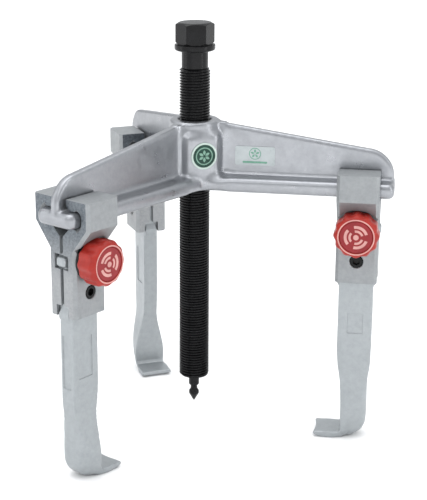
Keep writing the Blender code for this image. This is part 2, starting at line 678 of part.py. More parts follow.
def make_knob_group(letter, side, jaw):
    """Knob, cap, clamp screw and washer; local Z points out of the cheek."""
    face = CHEEK_OUTER_LOWER
    stand = empty("knob_axis_" + letter, (JAW_R, 0.0, level(KNOB_HEIGHT)),
                  (math.radians(-90.0 * side), 0.0, 0.0), jaw)
    washer = turned("knob_washer_" + letter, [
        (CLAMP_HOLE_R, face + GAP + WASHER_THICKNESS), (WASHER_R, face + GAP + WASHER_THICKNESS),
        (WASHER_R, face + GAP), (CLAMP_HOLE_R, face + GAP),
        (CLAMP_HOLE_R, face + GAP + WASHER_THICKNESS),
    ], 32, BLACK_STEEL, stand)
    back = face + WASHER_THICKNESS + 2 * GAP
    front = back + KNOB_THICKNESS
    knob = make_object(
        "knob_" + letter,
        loft_mesh("knob_" + letter, [
            (knob_section(KNOB_R - 1.3 * MM), back),
            (knob_section(KNOB_R), back + 2.0 * MM),
            (knob_section(KNOB_R), front - 3.4 * MM),
            (knob_section(KNOB_R - 2.2 * MM), front - 0.3 * MM),
            (knob_section(KNOB_R - 3.0 * MM), front),
        ]), KNOB_RED, stand)
    recess = make_object(
        "knob_recess_" + letter,
        cylinder_mesh("knob_recess_" + letter, CAP_R - 1.0 * MM, front - CAP_THICKNESS,
                      front + 0.01, 32),
        parent=stand, cutter=True)
    boolean(knob, recess)
    bore = make_object(
        "knob_bore_" + letter,
        cylinder_mesh("knob_bore_" + letter, CLAMP_SCREW_R + GAP, back - 0.01,
                      back + 9.0 * MM, 20),
        parent=stand, cutter=True)
    boolean(knob, bore)
    turned("knob_cap_" + letter, [
        (0.0, front - 0.2 * MM), (CAP_R - 1.6 * MM, front - 0.2 * MM),
        (CAP_R - 1.3 * MM, front - 0.5 * MM),
        (CAP_R - 1.3 * MM, front - CAP_THICKNESS + GAP), (0.0, front - CAP_THICKNESS + GAP),
    ], 32, CAP_RED, stand)
    turned("clamp_screw_" + letter, [
        (0.0, back + 9.0 * MM - GAP), (CLAMP_SCREW_R, back + 9.0 * MM - GAP),
        (CLAMP_SCREW_R, -CHEEK_OUTER_LOWER + 1.6 * MM),
        (CLAMP_SCREW_R - 0.8 * MM, -CHEEK_OUTER_LOWER + 0.8 * MM),
        (0.0, -CHEEK_OUTER_LOWER + 0.8 * MM),
    ], 20, TIP_STEEL, stand)
    return washer


def make_lock_screw(letter, side, jaw):
    """Black socket screw, sunk in the knob-side cheek, that holds the hook's tang to it."""
    stand = empty("lock_axis_" + letter, (JAW_R, 0.0, level(LOCK_HEIGHT)),
                  (math.radians(-90.0 * side), 0.0, 0.0), jaw)
    face = CHEEK_OUTER_LOWER - LOCK_HEAD_SINK
    seat = face - LOCK_HEAD_HEIGHT
    screw = turned("lock_screw_" + letter, [
        (0.0, face), (LOCK_HEAD_R - 0.5 * MM, face), (LOCK_HEAD_R, face - 0.5 * MM),
        (LOCK_HEAD_R, seat), (LOCK_SCREW_R, seat), (LOCK_SCREW_R, -SHANK_HALF_DEPTH + 0.5 * MM),
        (0.0, -SHANK_HALF_DEPTH + 0.5 * MM),
    ], 24, BLACK_STEEL, stand)
    socket = make_object(
        "lock_socket_" + letter,
        cylinder_mesh("lock_socket_" + letter, 2.5 * MM / math.cos(math.pi / 6),
                      face - 2.4 * MM, face + 0.02, 6),
        parent=stand, cutter=True)
    boolean(screw, socket)


def make_jaw(letter, angle, side, setting):
    """One complete jaw on its arm."""
    turn = math.radians(angle)
    jaw = empty("jaw_" + letter, (setting * math.cos(turn), setting * math.sin(turn), 0.0),
                (0.0, 0.0, turn))
    make_cheek("knob_cheek_" + letter, side, jaw, True)
    make_cheek("back_cheek_" + letter, -side, jaw, False)
    make_hook("hook_" + letter, jaw)
    make_knob_group(letter, side, jaw)
    make_lock_screw(letter, side, jaw)


make_crossbeam()
make_badges()
make_forcing_screw()
make_tip()
for jaw_letter, (arm_angle, knob_side, jaw_setting) in JAWS.items():
    make_jaw(jaw_letter, arm_angle, knob_side, jaw_setting)

for piece in PARTS.objects:
    if piece.type == "MESH" and piece.name.startswith(("knob_", "forcing", "centre", "clamp")):
        piece.data.shade_smooth()
        piece.data.set_sharp_from_angle(angle=math.radians(35.0))
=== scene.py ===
"""Looks of the three-arm gear puller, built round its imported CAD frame.

Every visible piece is a finer mesh than its CAD node, in the same place: a cut screw thread, a
forged crossbeam with soft fillets, clamp cheeks with eased edges, forged hooks, scalloped knobs.
Metres, +Z up along the screw's axis.  Heights are measured up from the plane that the heels
stand on; level() turns one into a world Z.  In a jaw's own frame X is radial, with zero at the
jaw's middle, Y is tangential (counter-clockwise) and Z is up.
"""
import math

import bmesh
import bpy
from mathutils import Matrix, Vector


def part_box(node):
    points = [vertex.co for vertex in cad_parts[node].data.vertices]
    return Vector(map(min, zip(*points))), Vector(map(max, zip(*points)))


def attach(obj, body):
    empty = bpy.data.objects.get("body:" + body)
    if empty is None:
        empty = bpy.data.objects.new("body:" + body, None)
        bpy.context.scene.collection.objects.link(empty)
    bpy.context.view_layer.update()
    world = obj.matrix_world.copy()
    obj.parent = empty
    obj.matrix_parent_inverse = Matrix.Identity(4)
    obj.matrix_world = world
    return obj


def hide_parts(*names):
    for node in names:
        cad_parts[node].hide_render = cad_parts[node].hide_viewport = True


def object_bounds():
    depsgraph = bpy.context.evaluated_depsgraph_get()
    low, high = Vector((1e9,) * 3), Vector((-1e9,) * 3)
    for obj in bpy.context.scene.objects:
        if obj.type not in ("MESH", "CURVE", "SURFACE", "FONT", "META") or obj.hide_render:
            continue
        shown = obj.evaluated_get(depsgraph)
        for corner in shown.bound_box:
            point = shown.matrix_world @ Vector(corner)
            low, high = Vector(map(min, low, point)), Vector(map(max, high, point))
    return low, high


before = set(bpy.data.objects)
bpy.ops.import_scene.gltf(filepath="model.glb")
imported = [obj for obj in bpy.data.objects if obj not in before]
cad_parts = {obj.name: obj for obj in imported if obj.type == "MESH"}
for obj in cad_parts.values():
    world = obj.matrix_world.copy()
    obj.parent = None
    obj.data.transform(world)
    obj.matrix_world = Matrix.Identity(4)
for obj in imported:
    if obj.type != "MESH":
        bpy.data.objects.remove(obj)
CAD_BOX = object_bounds()
HEELS = min(CAD_BOX[0].z, CAD_BOX[1].z)
MM = 0.001
GAP = 0.3 * MM
ARMS = {"a": 0.0, "b": -120.0, "c": 120.0}   # arm directions in degrees
BADGE_ANGLE = -60.0                          # the pad with the badge, between arms a and b


def level(height):
    """World Z of a height above the heels' plane."""
    return HEELS + height


def middle(node):
    """Centre of a CAD node's box."""
    low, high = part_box(node)
    return (low + high) / 2


def half_height(node):
    """Half the height of a CAD node's box, which is a round piece's radius if it lies down."""
    low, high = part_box(node)
    return (high.z - low.z) / 2


def radial(angle):
    """Unit vector along an arm."""
    return Vector((math.cos(math.radians(angle)), math.sin(math.radians(angle)), 0.0))


def smooth(t):
    """Eased step from 0 to 1."""
    t = min(1.0, max(0.0, t))
    return t * t * (3.0 - 2.0 * t)


# ---- sizes read from the frame -------------
HEX_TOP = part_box("forcing_screw")[1].z
THREAD_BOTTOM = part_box("forcing_screw")[0].z
TIP_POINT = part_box("centre_tip")[0].z
HUB_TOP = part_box("crossbeam")[1].z
FLANGE_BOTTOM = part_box("crossbeam")[0].z
ARM_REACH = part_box("crossbeam")[1].x
CHEEK_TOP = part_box("knob_cheek_a")[1].z
CHEEK_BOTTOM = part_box("knob_cheek_a")[0].z
CHEEK_HALF_WIDTH = (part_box("knob_cheek_a")[1].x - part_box("knob_cheek_a")[0].x) / 2
KNOB_Z = middle("clamp_screw_a").z
LOCK_Z = middle("lock_screw_a").z
KNOB_R = half_height("knob_a")
KNOB_FACE = -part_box("knob_a")[0].y             # tangential distance of a knob's front
KNOB_BACK = -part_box("knob_a")[1].y
WASHER_R = half_height("knob_washer_a")
LOCK_HEAD_R = half_height("lock_screw_a")
LOCK_FACE = -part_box("lock_screw_a")[0].y
LOCK_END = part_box("lock_screw_a")[1].y
CLAMP_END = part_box("clamp_screw_a")[1].y
TANG_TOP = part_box("hook_a")[1].z

# ---- sizes of the forcing screw ------------
SCREW_R = 11.0 * MM
PITCH = 2.0 * MM
THREAD_DEPTH = 1.2 * MM
SCREW_CORE_R = 9.45 * MM
THREAD_TOP = level(270.4 * MM)
COLLAR_TOP = level(287.4 * MM)
COLLAR_BOTTOM = level(283.2 * MM)
COLLAR_R = 14.5 * MM
HEX_FLATS = 24.0 * MM
HEX_TURN = -16.0

# ---- sizes of the crossbeam ----------------
BORE_R = SCREW_R + GAP
HUB_R = 18.0 * MM
FLANGE_HALF = 16.5 * MM
FLANGE_TOP = level(195.2 * MM)
FLANGE_ROUND = 3.6 * MM
FLANGE_CORNER = 5.0 * MM
RIB_HALF = 3.5 * MM
RIB_TOP_AT_END = level(217.3 * MM)
RIB_END_RADIUS = 19.7 * MM
RIB_REACH = ARM_REACH - 0.8 * MM
ROOT_FILLET = 7.5 * MM
FOOT_FILLET = 3.0 * MM
PAD_FACE = 19.3 * MM
PAD_HALF = 10.8 * MM
PAD_ROOT = 15.4 * MM       # screw axis to where a pad's sloping sides end
PAD_ROOT_HALF = 14.6 * MM
PAD_TOP = level(226.0 * MM)

# ---- sizes of a jaw ------------------------
CHEEK_SHOULDER = level(184.0 * MM)
CHEEK_WAIST = level(167.0 * MM)
CHEEK_OUTER_UPPER = 25.5 * MM
CHEEK_OUTER_LOWER = 12.2 * MM
CHEEK_CHAMFER = 2.2 * MM
WINDOW_HALF = 6.4 * MM     # the window that the hook's lugs show in
WINDOW_LOW, WINDOW_HIGH = KNOB_Z - 6.2 * MM, KNOB_Z + 4.2 * MM
LUG_HALF = 4.2 * MM
LUG_LOW, LUG_HIGH = KNOB_Z - 4.4 * MM, KNOB_Z + 2.4 * MM
NOTCH_HALF, NOTCH_HEIGHT = 5.6 * MM, 8.0 * MM
SEAM_HALF = 1.3 * MM
LIP_INNER = RIB_HALF + 1.6 * MM
GROOVE_GAP = 0.4 * MM
SHANK_HALF_WIDTH = 12.25 * MM
SHANK_HALF_DEPTH = 5.6 * MM
FOOT_HALF_DEPTH = 12.2 * MM
HEEL_HALF_DEPTH = 8.0 * MM
FINGER_TOP = level(4.8 * MM)
FINGER_REACH = 26.8 * MM
FINGER_SCOOP = 1.3 * MM    # how far a finger's hollow tip is cut in
CLAMP_HOLE_R = 4.35 * MM
LOCK_HOLE_R = 3.35 * MM
CAP_R = 11.6 * MM
PRINT_THICK = 0.08 * MM

# ---- sizes of a hook's lower part, in millimetres; heights are above the heels ----
HEEL_ARC_X, HEEL_ARC_Z, HEEL_ARC_R = -4.9, 15.6, 15.5
NECK_REACH, SHANK_SPREAD = 10.6, 1.65    # outer face's reach, and how much it gains higher up
FLARE_START, FLARE_FALL = 53.0, 40.0     # where the inner part starts to widen, over what drop
HEEL_START, HEEL_FALL = 50.0, 30.0       # the same for the outer part
RIDGE_START, RIDGE_FALL = 50.0, 42.0     # the same for the ridge's slant
RIDGE_REACH, RIDGE_SLANT, RIDGE_CURVE = 11.6, 17.9, 1.72
CORNER_LEAST, CORNER_GAIN = 0.4, 3.2     # radius of the outer corner
UNDERSIDE = 9.0                          # below this height the foot narrows

# ---- sizes of the shallow panels on a hook ----
PANEL_DEPTH = 0.6 * MM
LONG_PANEL_LOW, LONG_PANEL_HIGH = level(74.5 * MM), level(104.0 * MM)
SHORT_PANEL_LOW = level(80.7 * MM)
SHORT_PANEL_HIGH = SHORT_PANEL_LOW + 15.3 * MM
EDGE_PANEL_LOW, EDGE_PANEL_HIGH = level(68.0 * MM), level(106.0 * MM)
EDGE_PANEL_HALF = 3.6 * MM


# ---- mesh helpers --------------------------
def link(name, mesh):
    """An object for a mesh."""
    made = bpy.data.objects.new(name, mesh)
    bpy.context.scene.collection.objects.link(made)
    return made


def from_bmesh(name, bm):
    """An object from a bmesh, which is freed."""
    bmesh.ops.recalc_face_normals(bm, faces=bm.faces)
    mesh = bpy.data.meshes.new(name)
    bm.to_mesh(mesh)
    bm.free()
    return link(name, mesh)


def settle(obj):
    """Apply an object's modifiers to its mesh."""
    depsgraph = bpy.context.evaluated_depsgraph_get()
    mesh = bpy.data.meshes.new_from_object(obj.evaluated_get(depsgraph))
    old = obj.data
    obj.modifiers.clear()
    obj.data = mesh
    bpy.data.meshes.remove(old)
    return obj


def move(obj, matrix):
    """Move an object's mesh, leaving the object at the origin."""
    obj.data.transform(matrix)
    obj.data.update()
    return obj


def combine(obj, operation, *others):
    """Cut, join or intersect an object with others, which are used up."""
    for other in others:
        modifier = obj.modifiers.new("combine", "BOOLEAN")
        modifier.operation = operation
        modifier.solver = "EXACT"
        modifier.object = other
    settle(obj)
    for other in others:
        bpy.data.objects.remove(other, do_unlink=True)
    return obj


def ease(obj, width, segments=2, angle=40.0):
    """Round an object's sharp edges."""
    modifier = obj.modifiers.new("ease", "BEVEL")
    modifier.width = width
    modifier.segments = segments
    modifier.limit_method = "ANGLE"
    modifier.angle_limit = math.radians(angle)
    return settle(obj)


def forge(obj, voxel, passes, soft_spot=None, more=0):
    """Merge everything in a mesh into one skin and soften its edges, as a forging die does.
    A soft spot gives each place the share, from 0 to 1, that it takes of some more passes."""
    skin = obj.modifiers.new("skin", "REMESH")
    skin.mode = "VOXEL"
    skin.voxel_size = voxel
    skin.use_smooth_shade = True
    soften = obj.modifiers.new("soften", "SMOOTH")
    soften.factor = 0.5
    soften.iterations = passes
    settle(obj)
    if soft_spot:
        group = obj.vertex_groups.new(name="soft_spot")
        for vertex in obj.data.vertices:
            share = soft_spot(vertex.co)
            if share > 0.0:
                group.add([vertex.index], share, "REPLACE")
        soften = obj.modifiers.new("soften_more", "SMOOTH")
        soften.factor = 0.5
        soften.iterations = more
        soften.vertex_group = group.name
        settle(obj)
    return obj


def join(name, *objects):
    """One object from several."""
    bm = bmesh.new()
    for obj in objects:
        bm.from_mesh(obj.data)
        bpy.data.objects.remove(obj, do_unlink=True)
    mesh = bpy.data.meshes.new(name)
    bm.to_mesh(mesh)
    bm.free()
    return link(name, mesh)


def copy_of(obj, name):
    """A second object with its own mesh."""
    return link(name, obj.data.copy())


def box(low, high):
    """A box between two corners."""
    low, high = Vector(low), Vector(high)
    bm = bmesh.new()
    place = Matrix.Translation((low + high) / 2) @ Matrix.Diagonal((*(high - low), 1.0))
    bmesh.ops.create_cube(bm, size=1.0, matrix=place)
    return from_bmesh("box", bm)


def cylinder(radius, low, high, segments=64):
    """A cylinder along Z."""
    bm = bmesh.new()
    bmesh.ops.create_cone(bm, cap_ends=True, segments=segments, radius1=radius, radius2=radius,
                          depth=high - low, matrix=Matrix.Translation((0, 0, (low + high) / 2)))
    return from_bmesh("cylinder", bm)


def slab(points, low, high):
    """A flat outline in XY, pushed along Z from low to high."""
    bm = bmesh.new()
    face = bm.faces.new([bm.verts.new((x, y, low)) for x, y in points])
    pushed = bmesh.ops.extrude_face_region(bm, geom=[face])
    bmesh.ops.translate(bm, vec=(0.0, 0.0, high - low),
                        verts=[v for v in pushed["geom"] if isinstance(v, bmesh.types.BMVert)])
    return from_bmesh("slab", bm)


def loft(rings):
    """A closed solid through rings of 3-D points, all of one length."""
    bm = bmesh.new()
    made = [[bm.verts.new(point) for point in ring] for ring in rings]
    count = len(made[0])
    for below, above in zip(made, made[1:]):
        for i in range(count):
            j = (i + 1) % count
            bm.faces.new((below[i], below[j], above[j], above[i]))
    bm.faces.new(made[0])
    bm.faces.new(made[-1])
    return from_bmesh("loft", bm)


def turned(profile, segments=96):
    """A solid of revolution, through (radius, z) points from one end of the axis to the other.
    A profile that ends where it starts makes a ring."""
    is_ring = profile[0] == profile[-1]
    bm = bmesh.new()
    verts = [bm.verts.new((r, 0.0, z)) for r, z in (profile[:-1] if is_ring else profile)]
    edges = [bm.edges.new(pair) for pair in zip(verts, verts[1:])]
    if is_ring:
        edges.append(bm.edges.new((verts[-1], verts[0])))
    bmesh.ops.spin(bm, geom=verts + edges, axis=(0, 0, 1), cent=(0, 0, 0),
                   angle=math.tau, steps=segments, use_duplicate=False)
    bmesh.ops.remove_doubles(bm, verts=bm.verts, dist=1e-7)
    return from_bmesh("turned", bm)


def arc(cx, cy, radius, start, end, steps):
    """Points on an arc, angles in degrees."""
    return [(cx + radius * math.cos(math.radians(start + (end - start) * i / steps)),
             cy + radius * math.sin(math.radians(start + (end - start) * i / steps)))
            for i in range(steps + 1)]


# An outline drawn in (radial, height) stands up in XZ and is pushed along Y.
STAND_XZ = Matrix(((1, 0, 0, 0), (0, 0, -1, 0), (0, 1, 0, 0), (0, 0, 0, 1)))
# An outline drawn in (tangential, height) stands up in YZ and is pushed along X.
STAND_YZ = Matrix(((0, 0, 1, 0), (1, 0, 0, 0), (0, 1, 0, 0), (0, 0, 0, 1)))


def outward(side):
    """A turn that lays a shape's Z along the tangential direction given by side."""
    return Matrix.Rotation(math.radians(-90.0 * side), 4, "X")


def chamfer_outer_edges(cheek, side, width):
    """Cut a flat chamfer down both sides of a cheek's outer face."""
    bm = bmesh.new()
    bm.from_mesh(cheek.data)
    edges = [edge for edge in bm.edges
             if abs(edge.verts[0].co.x - edge.verts[1].co.x) < 0.01 * MM
             and all(side * v.co.y > CHEEK_OUTER_LOWER - 0.01 * MM for v in edge.verts)]
    bmesh.ops.bevel(bm, geom=edges, offset=width, segments=1, affect="EDGES")
    bm.to_mesh(cheek.data)
    bm.free()


def finish_piece(obj, name, body, material, node=None, sharp=35.0, ends=None):
    """Name, shade, paint and hang a piece; ends is a second paint and the direction it faces."""
    obj.name = name
    obj.data.materials.clear()
    obj.data.materials.append(material)
    if ends:
        obj.data.materials.append(ends[0])
        for face in obj.data.polygons:
            face.material_index = 1 if abs(face.normal.dot(ends[1])) > 0.9 else 0
    obj.data.shade_smooth()
    obj.data.set_sharp_from_angle(angle=math.radians(sharp))
    level_out = obj.modifiers.new("level_out", "WEIGHTED_NORMAL")
    level_out.keep_sharp = True
    settle(obj)
    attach(obj, body)
    if node:
        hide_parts(node)
    return obj


# ---- materials -----------------------------
class Nodes:
    """A material's node tree, with short ways to add to it."""

    def __init__(self, name):
        self.material = bpy.data.materials.new(name)
        self.material.use_nodes = True
        self.tree = self.material.node_tree
        self.shader = self.tree.nodes["Principled BSDF"]
        self.place = self.add("ShaderNodeTexCoord").outputs["Object"]

    def add(self, kind, **values):
        """A node, with its inputs or properties set by name."""
        node = self.tree.nodes.new(kind)
        for key, value in values.items():
            if key in node.inputs:
                node.inputs[key].default_value = value
            else:
                setattr(node, key, value)
        return node

    def wire(self, output, target):
        """A link."""
        self.tree.links.new(output, target)

    def noise(self, scale, detail=3.0, roughness=0.55, stretch=None):
        """Noise at a scale per metre, from 0 to 1."""
        noise = self.add("ShaderNodeTexNoise", Scale=scale, Detail=detail, Roughness=roughness)
        source = self.place
        if stretch:
            mapping = self.add("ShaderNodeMapping", Scale=stretch)
            self.wire(source, mapping.inputs["Vector"])
            source = mapping.outputs["Vector"]
        self.wire(source, noise.inputs["Vector"])
        return noise.outputs["Fac"]

    def span(self, factor, low, high, start=0.3, end=0.7):
        """A factor carried onto a range of numbers."""
        carried = self.add("ShaderNodeMapRange")
        for socket, value in (("From Min", start), ("From Max", end), ("To Min", low),
                              ("To Max", high)):
            carried.inputs[socket].default_value = value
        self.wire(factor, carried.inputs["Value"])
        return carried.outputs["Result"]

    def blend(self, factor, first, second, start=0.35, end=0.65):
        """Two colours mixed by a factor."""
        ramp = self.add("ShaderNodeValToRGB")
        ramp.color_ramp.elements[0].position = start
        ramp.color_ramp.elements[0].color = (*first, 1.0)
        ramp.color_ramp.elements[1].position = end
        ramp.color_ramp.elements[1].color = (*second, 1.0)
        self.wire(factor, ramp.inputs["Fac"])
        return ramp.outputs["Color"]

    def bumps(self, *layers):
        """Bump layers: (height, strength, distance)."""
        last = None
        for height, strength, distance in layers:
            bump = self.add("ShaderNodeBump", Strength=strength, Distance=distance)
            self.wire(height, bump.inputs["Height"])
            if last is not None:
                self.wire(last, bump.inputs["Normal"])
            last = bump.outputs["Normal"]
        self.wire(last, self.shader.inputs["Normal"])


def plated_steel(name, dark, light, metal, rough, forged):
    """Satin zinc plate on steel: a mottled tone, a fine grain, and forging marks below it."""
    nodes = Nodes(name)
    mottle = nodes.noise(260.0, 6.0, 0.72)
    grain = nodes.noise(1500.0, 2.0, 0.6)
    hammer = nodes.noise(110.0, 2.0, 0.5)
    nodes.shader.inputs["Metallic"].default_value = metal
    nodes.wire(nodes.blend(mottle, dark, light, 0.3, 0.7), nodes.shader.inputs["Base Color"])
    nodes.wire(nodes.span(hammer, rough - 0.05, rough + 0.07), nodes.shader.inputs["Roughness"])
    nodes.bumps((hammer, forged, 0.0005), (grain, 0.10, 0.00006))
    return nodes.material


def end_steel_with_painted_shade(name, unshaded_below, painted_shade_above):
    """Plated steel of a cheek's sawn ends, with painted shade: blotchy all over, plain below one
    height and painted darker above another.
    """
    nodes = Nodes(name)
    blotch = nodes.noise(520.0, 6.0, 0.75)
    parts = nodes.add("ShaderNodeSeparateXYZ")
    nodes.wire(nodes.place, parts.inputs["Vector"])
    mixed = nodes.add("ShaderNodeMixRGB")
    nodes.wire(nodes.span(parts.outputs["Z"], 0.0, 1.0, unshaded_below, painted_shade_above), mixed.inputs["Fac"])
    nodes.wire(nodes.blend(blotch, (0.28, 0.29, 0.30), (0.35, 0.36, 0.37)), mixed.inputs["Color1"])
    # The dark colour is painted shade on the upper part of the ends.
    nodes.wire(nodes.blend(blotch, (0.085, 0.10, 0.115), (0.20, 0.22, 0.24)), mixed.inputs["Color2"])
    nodes.wire(mixed.outputs["Color"], nodes.shader.inputs["Base Color"])
    nodes.shader.inputs["Metallic"].default_value = 0.85
    nodes.wire(nodes.span(blotch, 0.34, 0.46), nodes.shader.inputs["Roughness"])
    nodes.bumps((blotch, 0.12, 0.0002))
    return nodes.material


def black_oxide(name):
    """Oiled black oxide on machined steel."""
    nodes = Nodes(name)
    cloud = nodes.noise(160.0, 4.0, 0.6)
    grain = nodes.noise(1800.0, 2.0)
    nodes.shader.inputs["Specular IOR Level"].default_value = 0.2
    nodes.wire(nodes.blend(cloud, (0.003, 0.003, 0.0035), (0.007, 0.007, 0.008)),
               nodes.shader.inputs["Base Color"])
    nodes.wire(nodes.span(cloud, 0.22, 0.32), nodes.shader.inputs["Roughness"])
    nodes.bumps((grain, 0.12, 0.00006))
    return nodes.material


def machined_steel(name):
    """Bright machined steel with fine level bands."""
    nodes = Nodes(name)
    bands = nodes.noise(900.0, 2.0, 0.5, stretch=(0.02, 0.02, 1.0))
    nodes.shader.inputs["Metallic"].default_value = 1.0
    nodes.wire(nodes.blend(bands, (0.42, 0.43, 0.45), (0.60, 0.61, 0.63)),
               nodes.shader.inputs["Base Color"])
    nodes.wire(nodes.span(bands, 0.2, 0.34), nodes.shader.inputs["Roughness"])
    nodes.bumps((bands, 0.1, 0.00008))
    return nodes.material


def painted(name, dark, light, rough, peel=0.06):
    """Coloured plastic or lacquer with a slight orange peel and an uneven tone."""
    nodes = Nodes(name)
    cloud = nodes.noise(120.0, 3.0)
    skin = nodes.noise(1300.0, 2.0)
    nodes.shader.inputs["Specular IOR Level"].default_value = 0.3
    nodes.wire(nodes.blend(cloud, dark, light), nodes.shader.inputs["Base Color"])
    nodes.wire(nodes.span(cloud, rough - 0.05, rough + 0.05), nodes.shader.inputs["Roughness"])
    nodes.bumps((skin, peel, 0.0001))
    return nodes.material


def studio_floor():
    """Matt white paper, with a faint mottle."""
    nodes = Nodes("studio_floor")
    cloud = nodes.noise(2.0, 2.0)
    nodes.wire(nodes.blend(cloud, (0.90, 0.90, 0.90), (0.93, 0.93, 0.93)),
               nodes.shader.inputs["Base Color"])
    nodes.shader.inputs["Roughness"].default_value = 0.9
    nodes.shader.inputs["Specular IOR Level"].default_value = 0.1
    return nodes.material


BEAM_STEEL = plated_steel("beam_steel", (0.290, 0.300, 0.320), (0.340, 0.350, 0.370), 0.85,
                          0.32, 0.10)
CHEEK_STEEL = plated_steel("cheek_steel", (0.250, 0.264, 0.274), (0.310, 0.324, 0.334), 0.5,
                           0.46, 0.08)
# Painted shade on the cheeks' sawn ends: darker from 146 mm upwards, fully dark above 180 mm.
CHEEK_END_PAINTED_SHADE = end_steel_with_painted_shade("cheek_end_painted_shade", level(146.0 * MM), level(180.0 * MM))
HOOK_STEEL = plated_steel("hook_steel", (0.315, 0.338, 0.352), (0.375, 0.398, 0.412), 0.65,
                          0.40, 0.09)
BLACK = black_oxide("black_oxide")
BRIGHT = machined_steel("bright_steel")
KNOB_RED = painted("knob_red", (0.29, 0.016, 0.011), (0.36, 0.024, 0.015), 0.38)
CAP_RED = painted("cap_red", (0.22, 0.012, 0.016), (0.27, 0.017, 0.021), 0.36)
CAP_PALE = painted("cap_pale", (0.54, 0.26, 0.24), (0.62, 0.33, 0.30), 0.42)
LABEL_PALE = painted("label_pale", (0.41, 0.45, 0.46), (0.48, 0.52, 0.53), 0.3, 0.02)
BADGE_PALE = painted("badge_pale", (0.44, 0.54, 0.49), (0.52, 0.62, 0.57), 0.3, 0.02)
BADGE_MINT = painted("badge_mint", (0.16, 0.30, 0.23), (0.20, 0.36, 0.28), 0.3, 0.02)
BADGE_GREEN = painted("badge_green", (0.004, 0.034, 0.022), (0.008, 0.050, 0.033), 0.3, 0.02)
LEAF_GREEN = painted("leaf_green", (0.13, 0.30, 0.22), (0.17, 0.36, 0.27), 0.3, 0.02)


# ---- the forcing screw ---------------------
def make_thread(top, bottom):
    """The cut thread: one strip that climbs a pitch with each turn, closed at both ends."""
    around = 64
    root = SCREW_R - THREAD_DEPTH
    # One pitch of the section: share of the pitch, radius.
    section = [(0.0, SCREW_R), (0.16, SCREW_R), (0.46, root), (0.70, root)]
    turns = int((top - bottom) / PITCH) + 3
    bm = bmesh.new()
    rows = []
    for turn in range(turns):
        for share, radius in section:
            row = []
            for i in range(around):
                angle = math.tau * i / around
                z = bottom + PITCH * (turn - 1 + share + i / around)
                reach = min(radius, root + 0.4 * MM + max(0.0, min(z - bottom, top - z)))
                row.append(bm.verts.new((reach * math.cos(angle), reach * math.sin(angle), z)))
            rows.append(row)
    step = len(section)
    for low, high in zip(range(len(rows)), range(1, len(rows))):
        for i in range(around):
            if i < around - 1:
                corners = (rows[low][i], rows[low][i + 1], rows[high][i + 1], rows[high][i])
            elif high + step < len(rows):
                corners = (rows[low][i], rows[low + step][0], rows[high + step][0], rows[high][i])
            else:
                continue
            bm.faces.new(corners)
    for z, normal in ((top, (0, 0, 1)), (bottom, (0, 0, -1))):
        bmesh.ops.bisect_plane(bm, geom=bm.verts[:] + bm.edges[:] + bm.faces[:], dist=1e-8,
                               plane_co=(0, 0, z), plane_no=normal, clear_outer=True)
        rim = [edge for edge in bm.edges if edge.is_boundary
               and all(abs(v.co.z - z) < 1e-6 for v in edge.verts)]
        bmesh.ops.holes_fill(bm, edges=rim, sides=0)
    return from_bmesh("thread", bm)


def make_forcing_screw():
    """Hexagon with a chamfered crown, collar, neck and threaded shaft."""
    head = cylinder(HEX_FLATS / math.sqrt(3.0), COLLAR_TOP - 1.0 * MM, HEX_TOP, 6)
    move(head, Matrix.Rotation(math.radians(HEX_TURN), 4, "Z"))
    flat = HEX_FLATS / 2 - 0.6 * MM
    crown = turned([(0.0, HEX_TOP), (flat - 0.4 * MM, HEX_TOP), (flat, HEX_TOP - 0.15 * MM),
                    (flat + 3.6 * MM, HEX_TOP - 2.25 * MM),
                    (flat + 3.6 * MM, COLLAR_TOP - 2.0 * MM), (0.0, COLLAR_TOP - 2.0 * MM)], 96)
    foot = turned([(0.0, HEX_TOP + 1.0 * MM), (flat + 4.0 * MM, HEX_TOP + 1.0 * MM),
                   (flat + 4.0 * MM, COLLAR_TOP + 2.6 * MM), (flat + 0.9 * MM, COLLAR_TOP + 0.6 * MM),
                   (flat + 0.9 * MM, COLLAR_TOP - 1.0 * MM), (0.0, COLLAR_TOP - 1.0 * MM)], 96)
    combine(head, "INTERSECT", crown, foot)
    ease(head, 0.25 * MM, 2, 45.0)
    shaft_end = THREAD_TOP - 1.0 * MM
    collar = turned([
        (0.0, COLLAR_TOP + 0.4 * MM), (COLLAR_R - 2.4 * MM, COLLAR_TOP + 0.4 * MM),
        (COLLAR_R - 0.7 * MM, COLLAR_TOP),
        *arc(COLLAR_R - 0.5 * MM, COLLAR_TOP - 0.5 * MM, 0.5 * MM, 90.0, 0.0, 4),
        *arc(COLLAR_R - 1.6 * MM, COLLAR_BOTTOM + 1.6 * MM, 1.6 * MM, 0.0, -90.0, 8),
        (SCREW_CORE_R + 1.2 * MM, COLLAR_BOTTOM),
        *arc(SCREW_CORE_R + 1.2 * MM, COLLAR_BOTTOM - 1.2 * MM, 1.2 * MM, 90.0, 180.0, 5),
        (SCREW_CORE_R, THREAD_TOP + 0.6 * MM), (SCREW_CORE_R - 0.5 * MM, THREAD_TOP),
        (SCREW_CORE_R - 0.5 * MM, shaft_end), (0.0, shaft_end)], 96)
    thread = make_thread(THREAD_TOP, THREAD_BOTTOM)
    screw = join("forcing_screw_cut", head, collar, thread)
    finish_piece(screw, "forcing_screw_cut", "screw", BLACK, "forcing_screw")


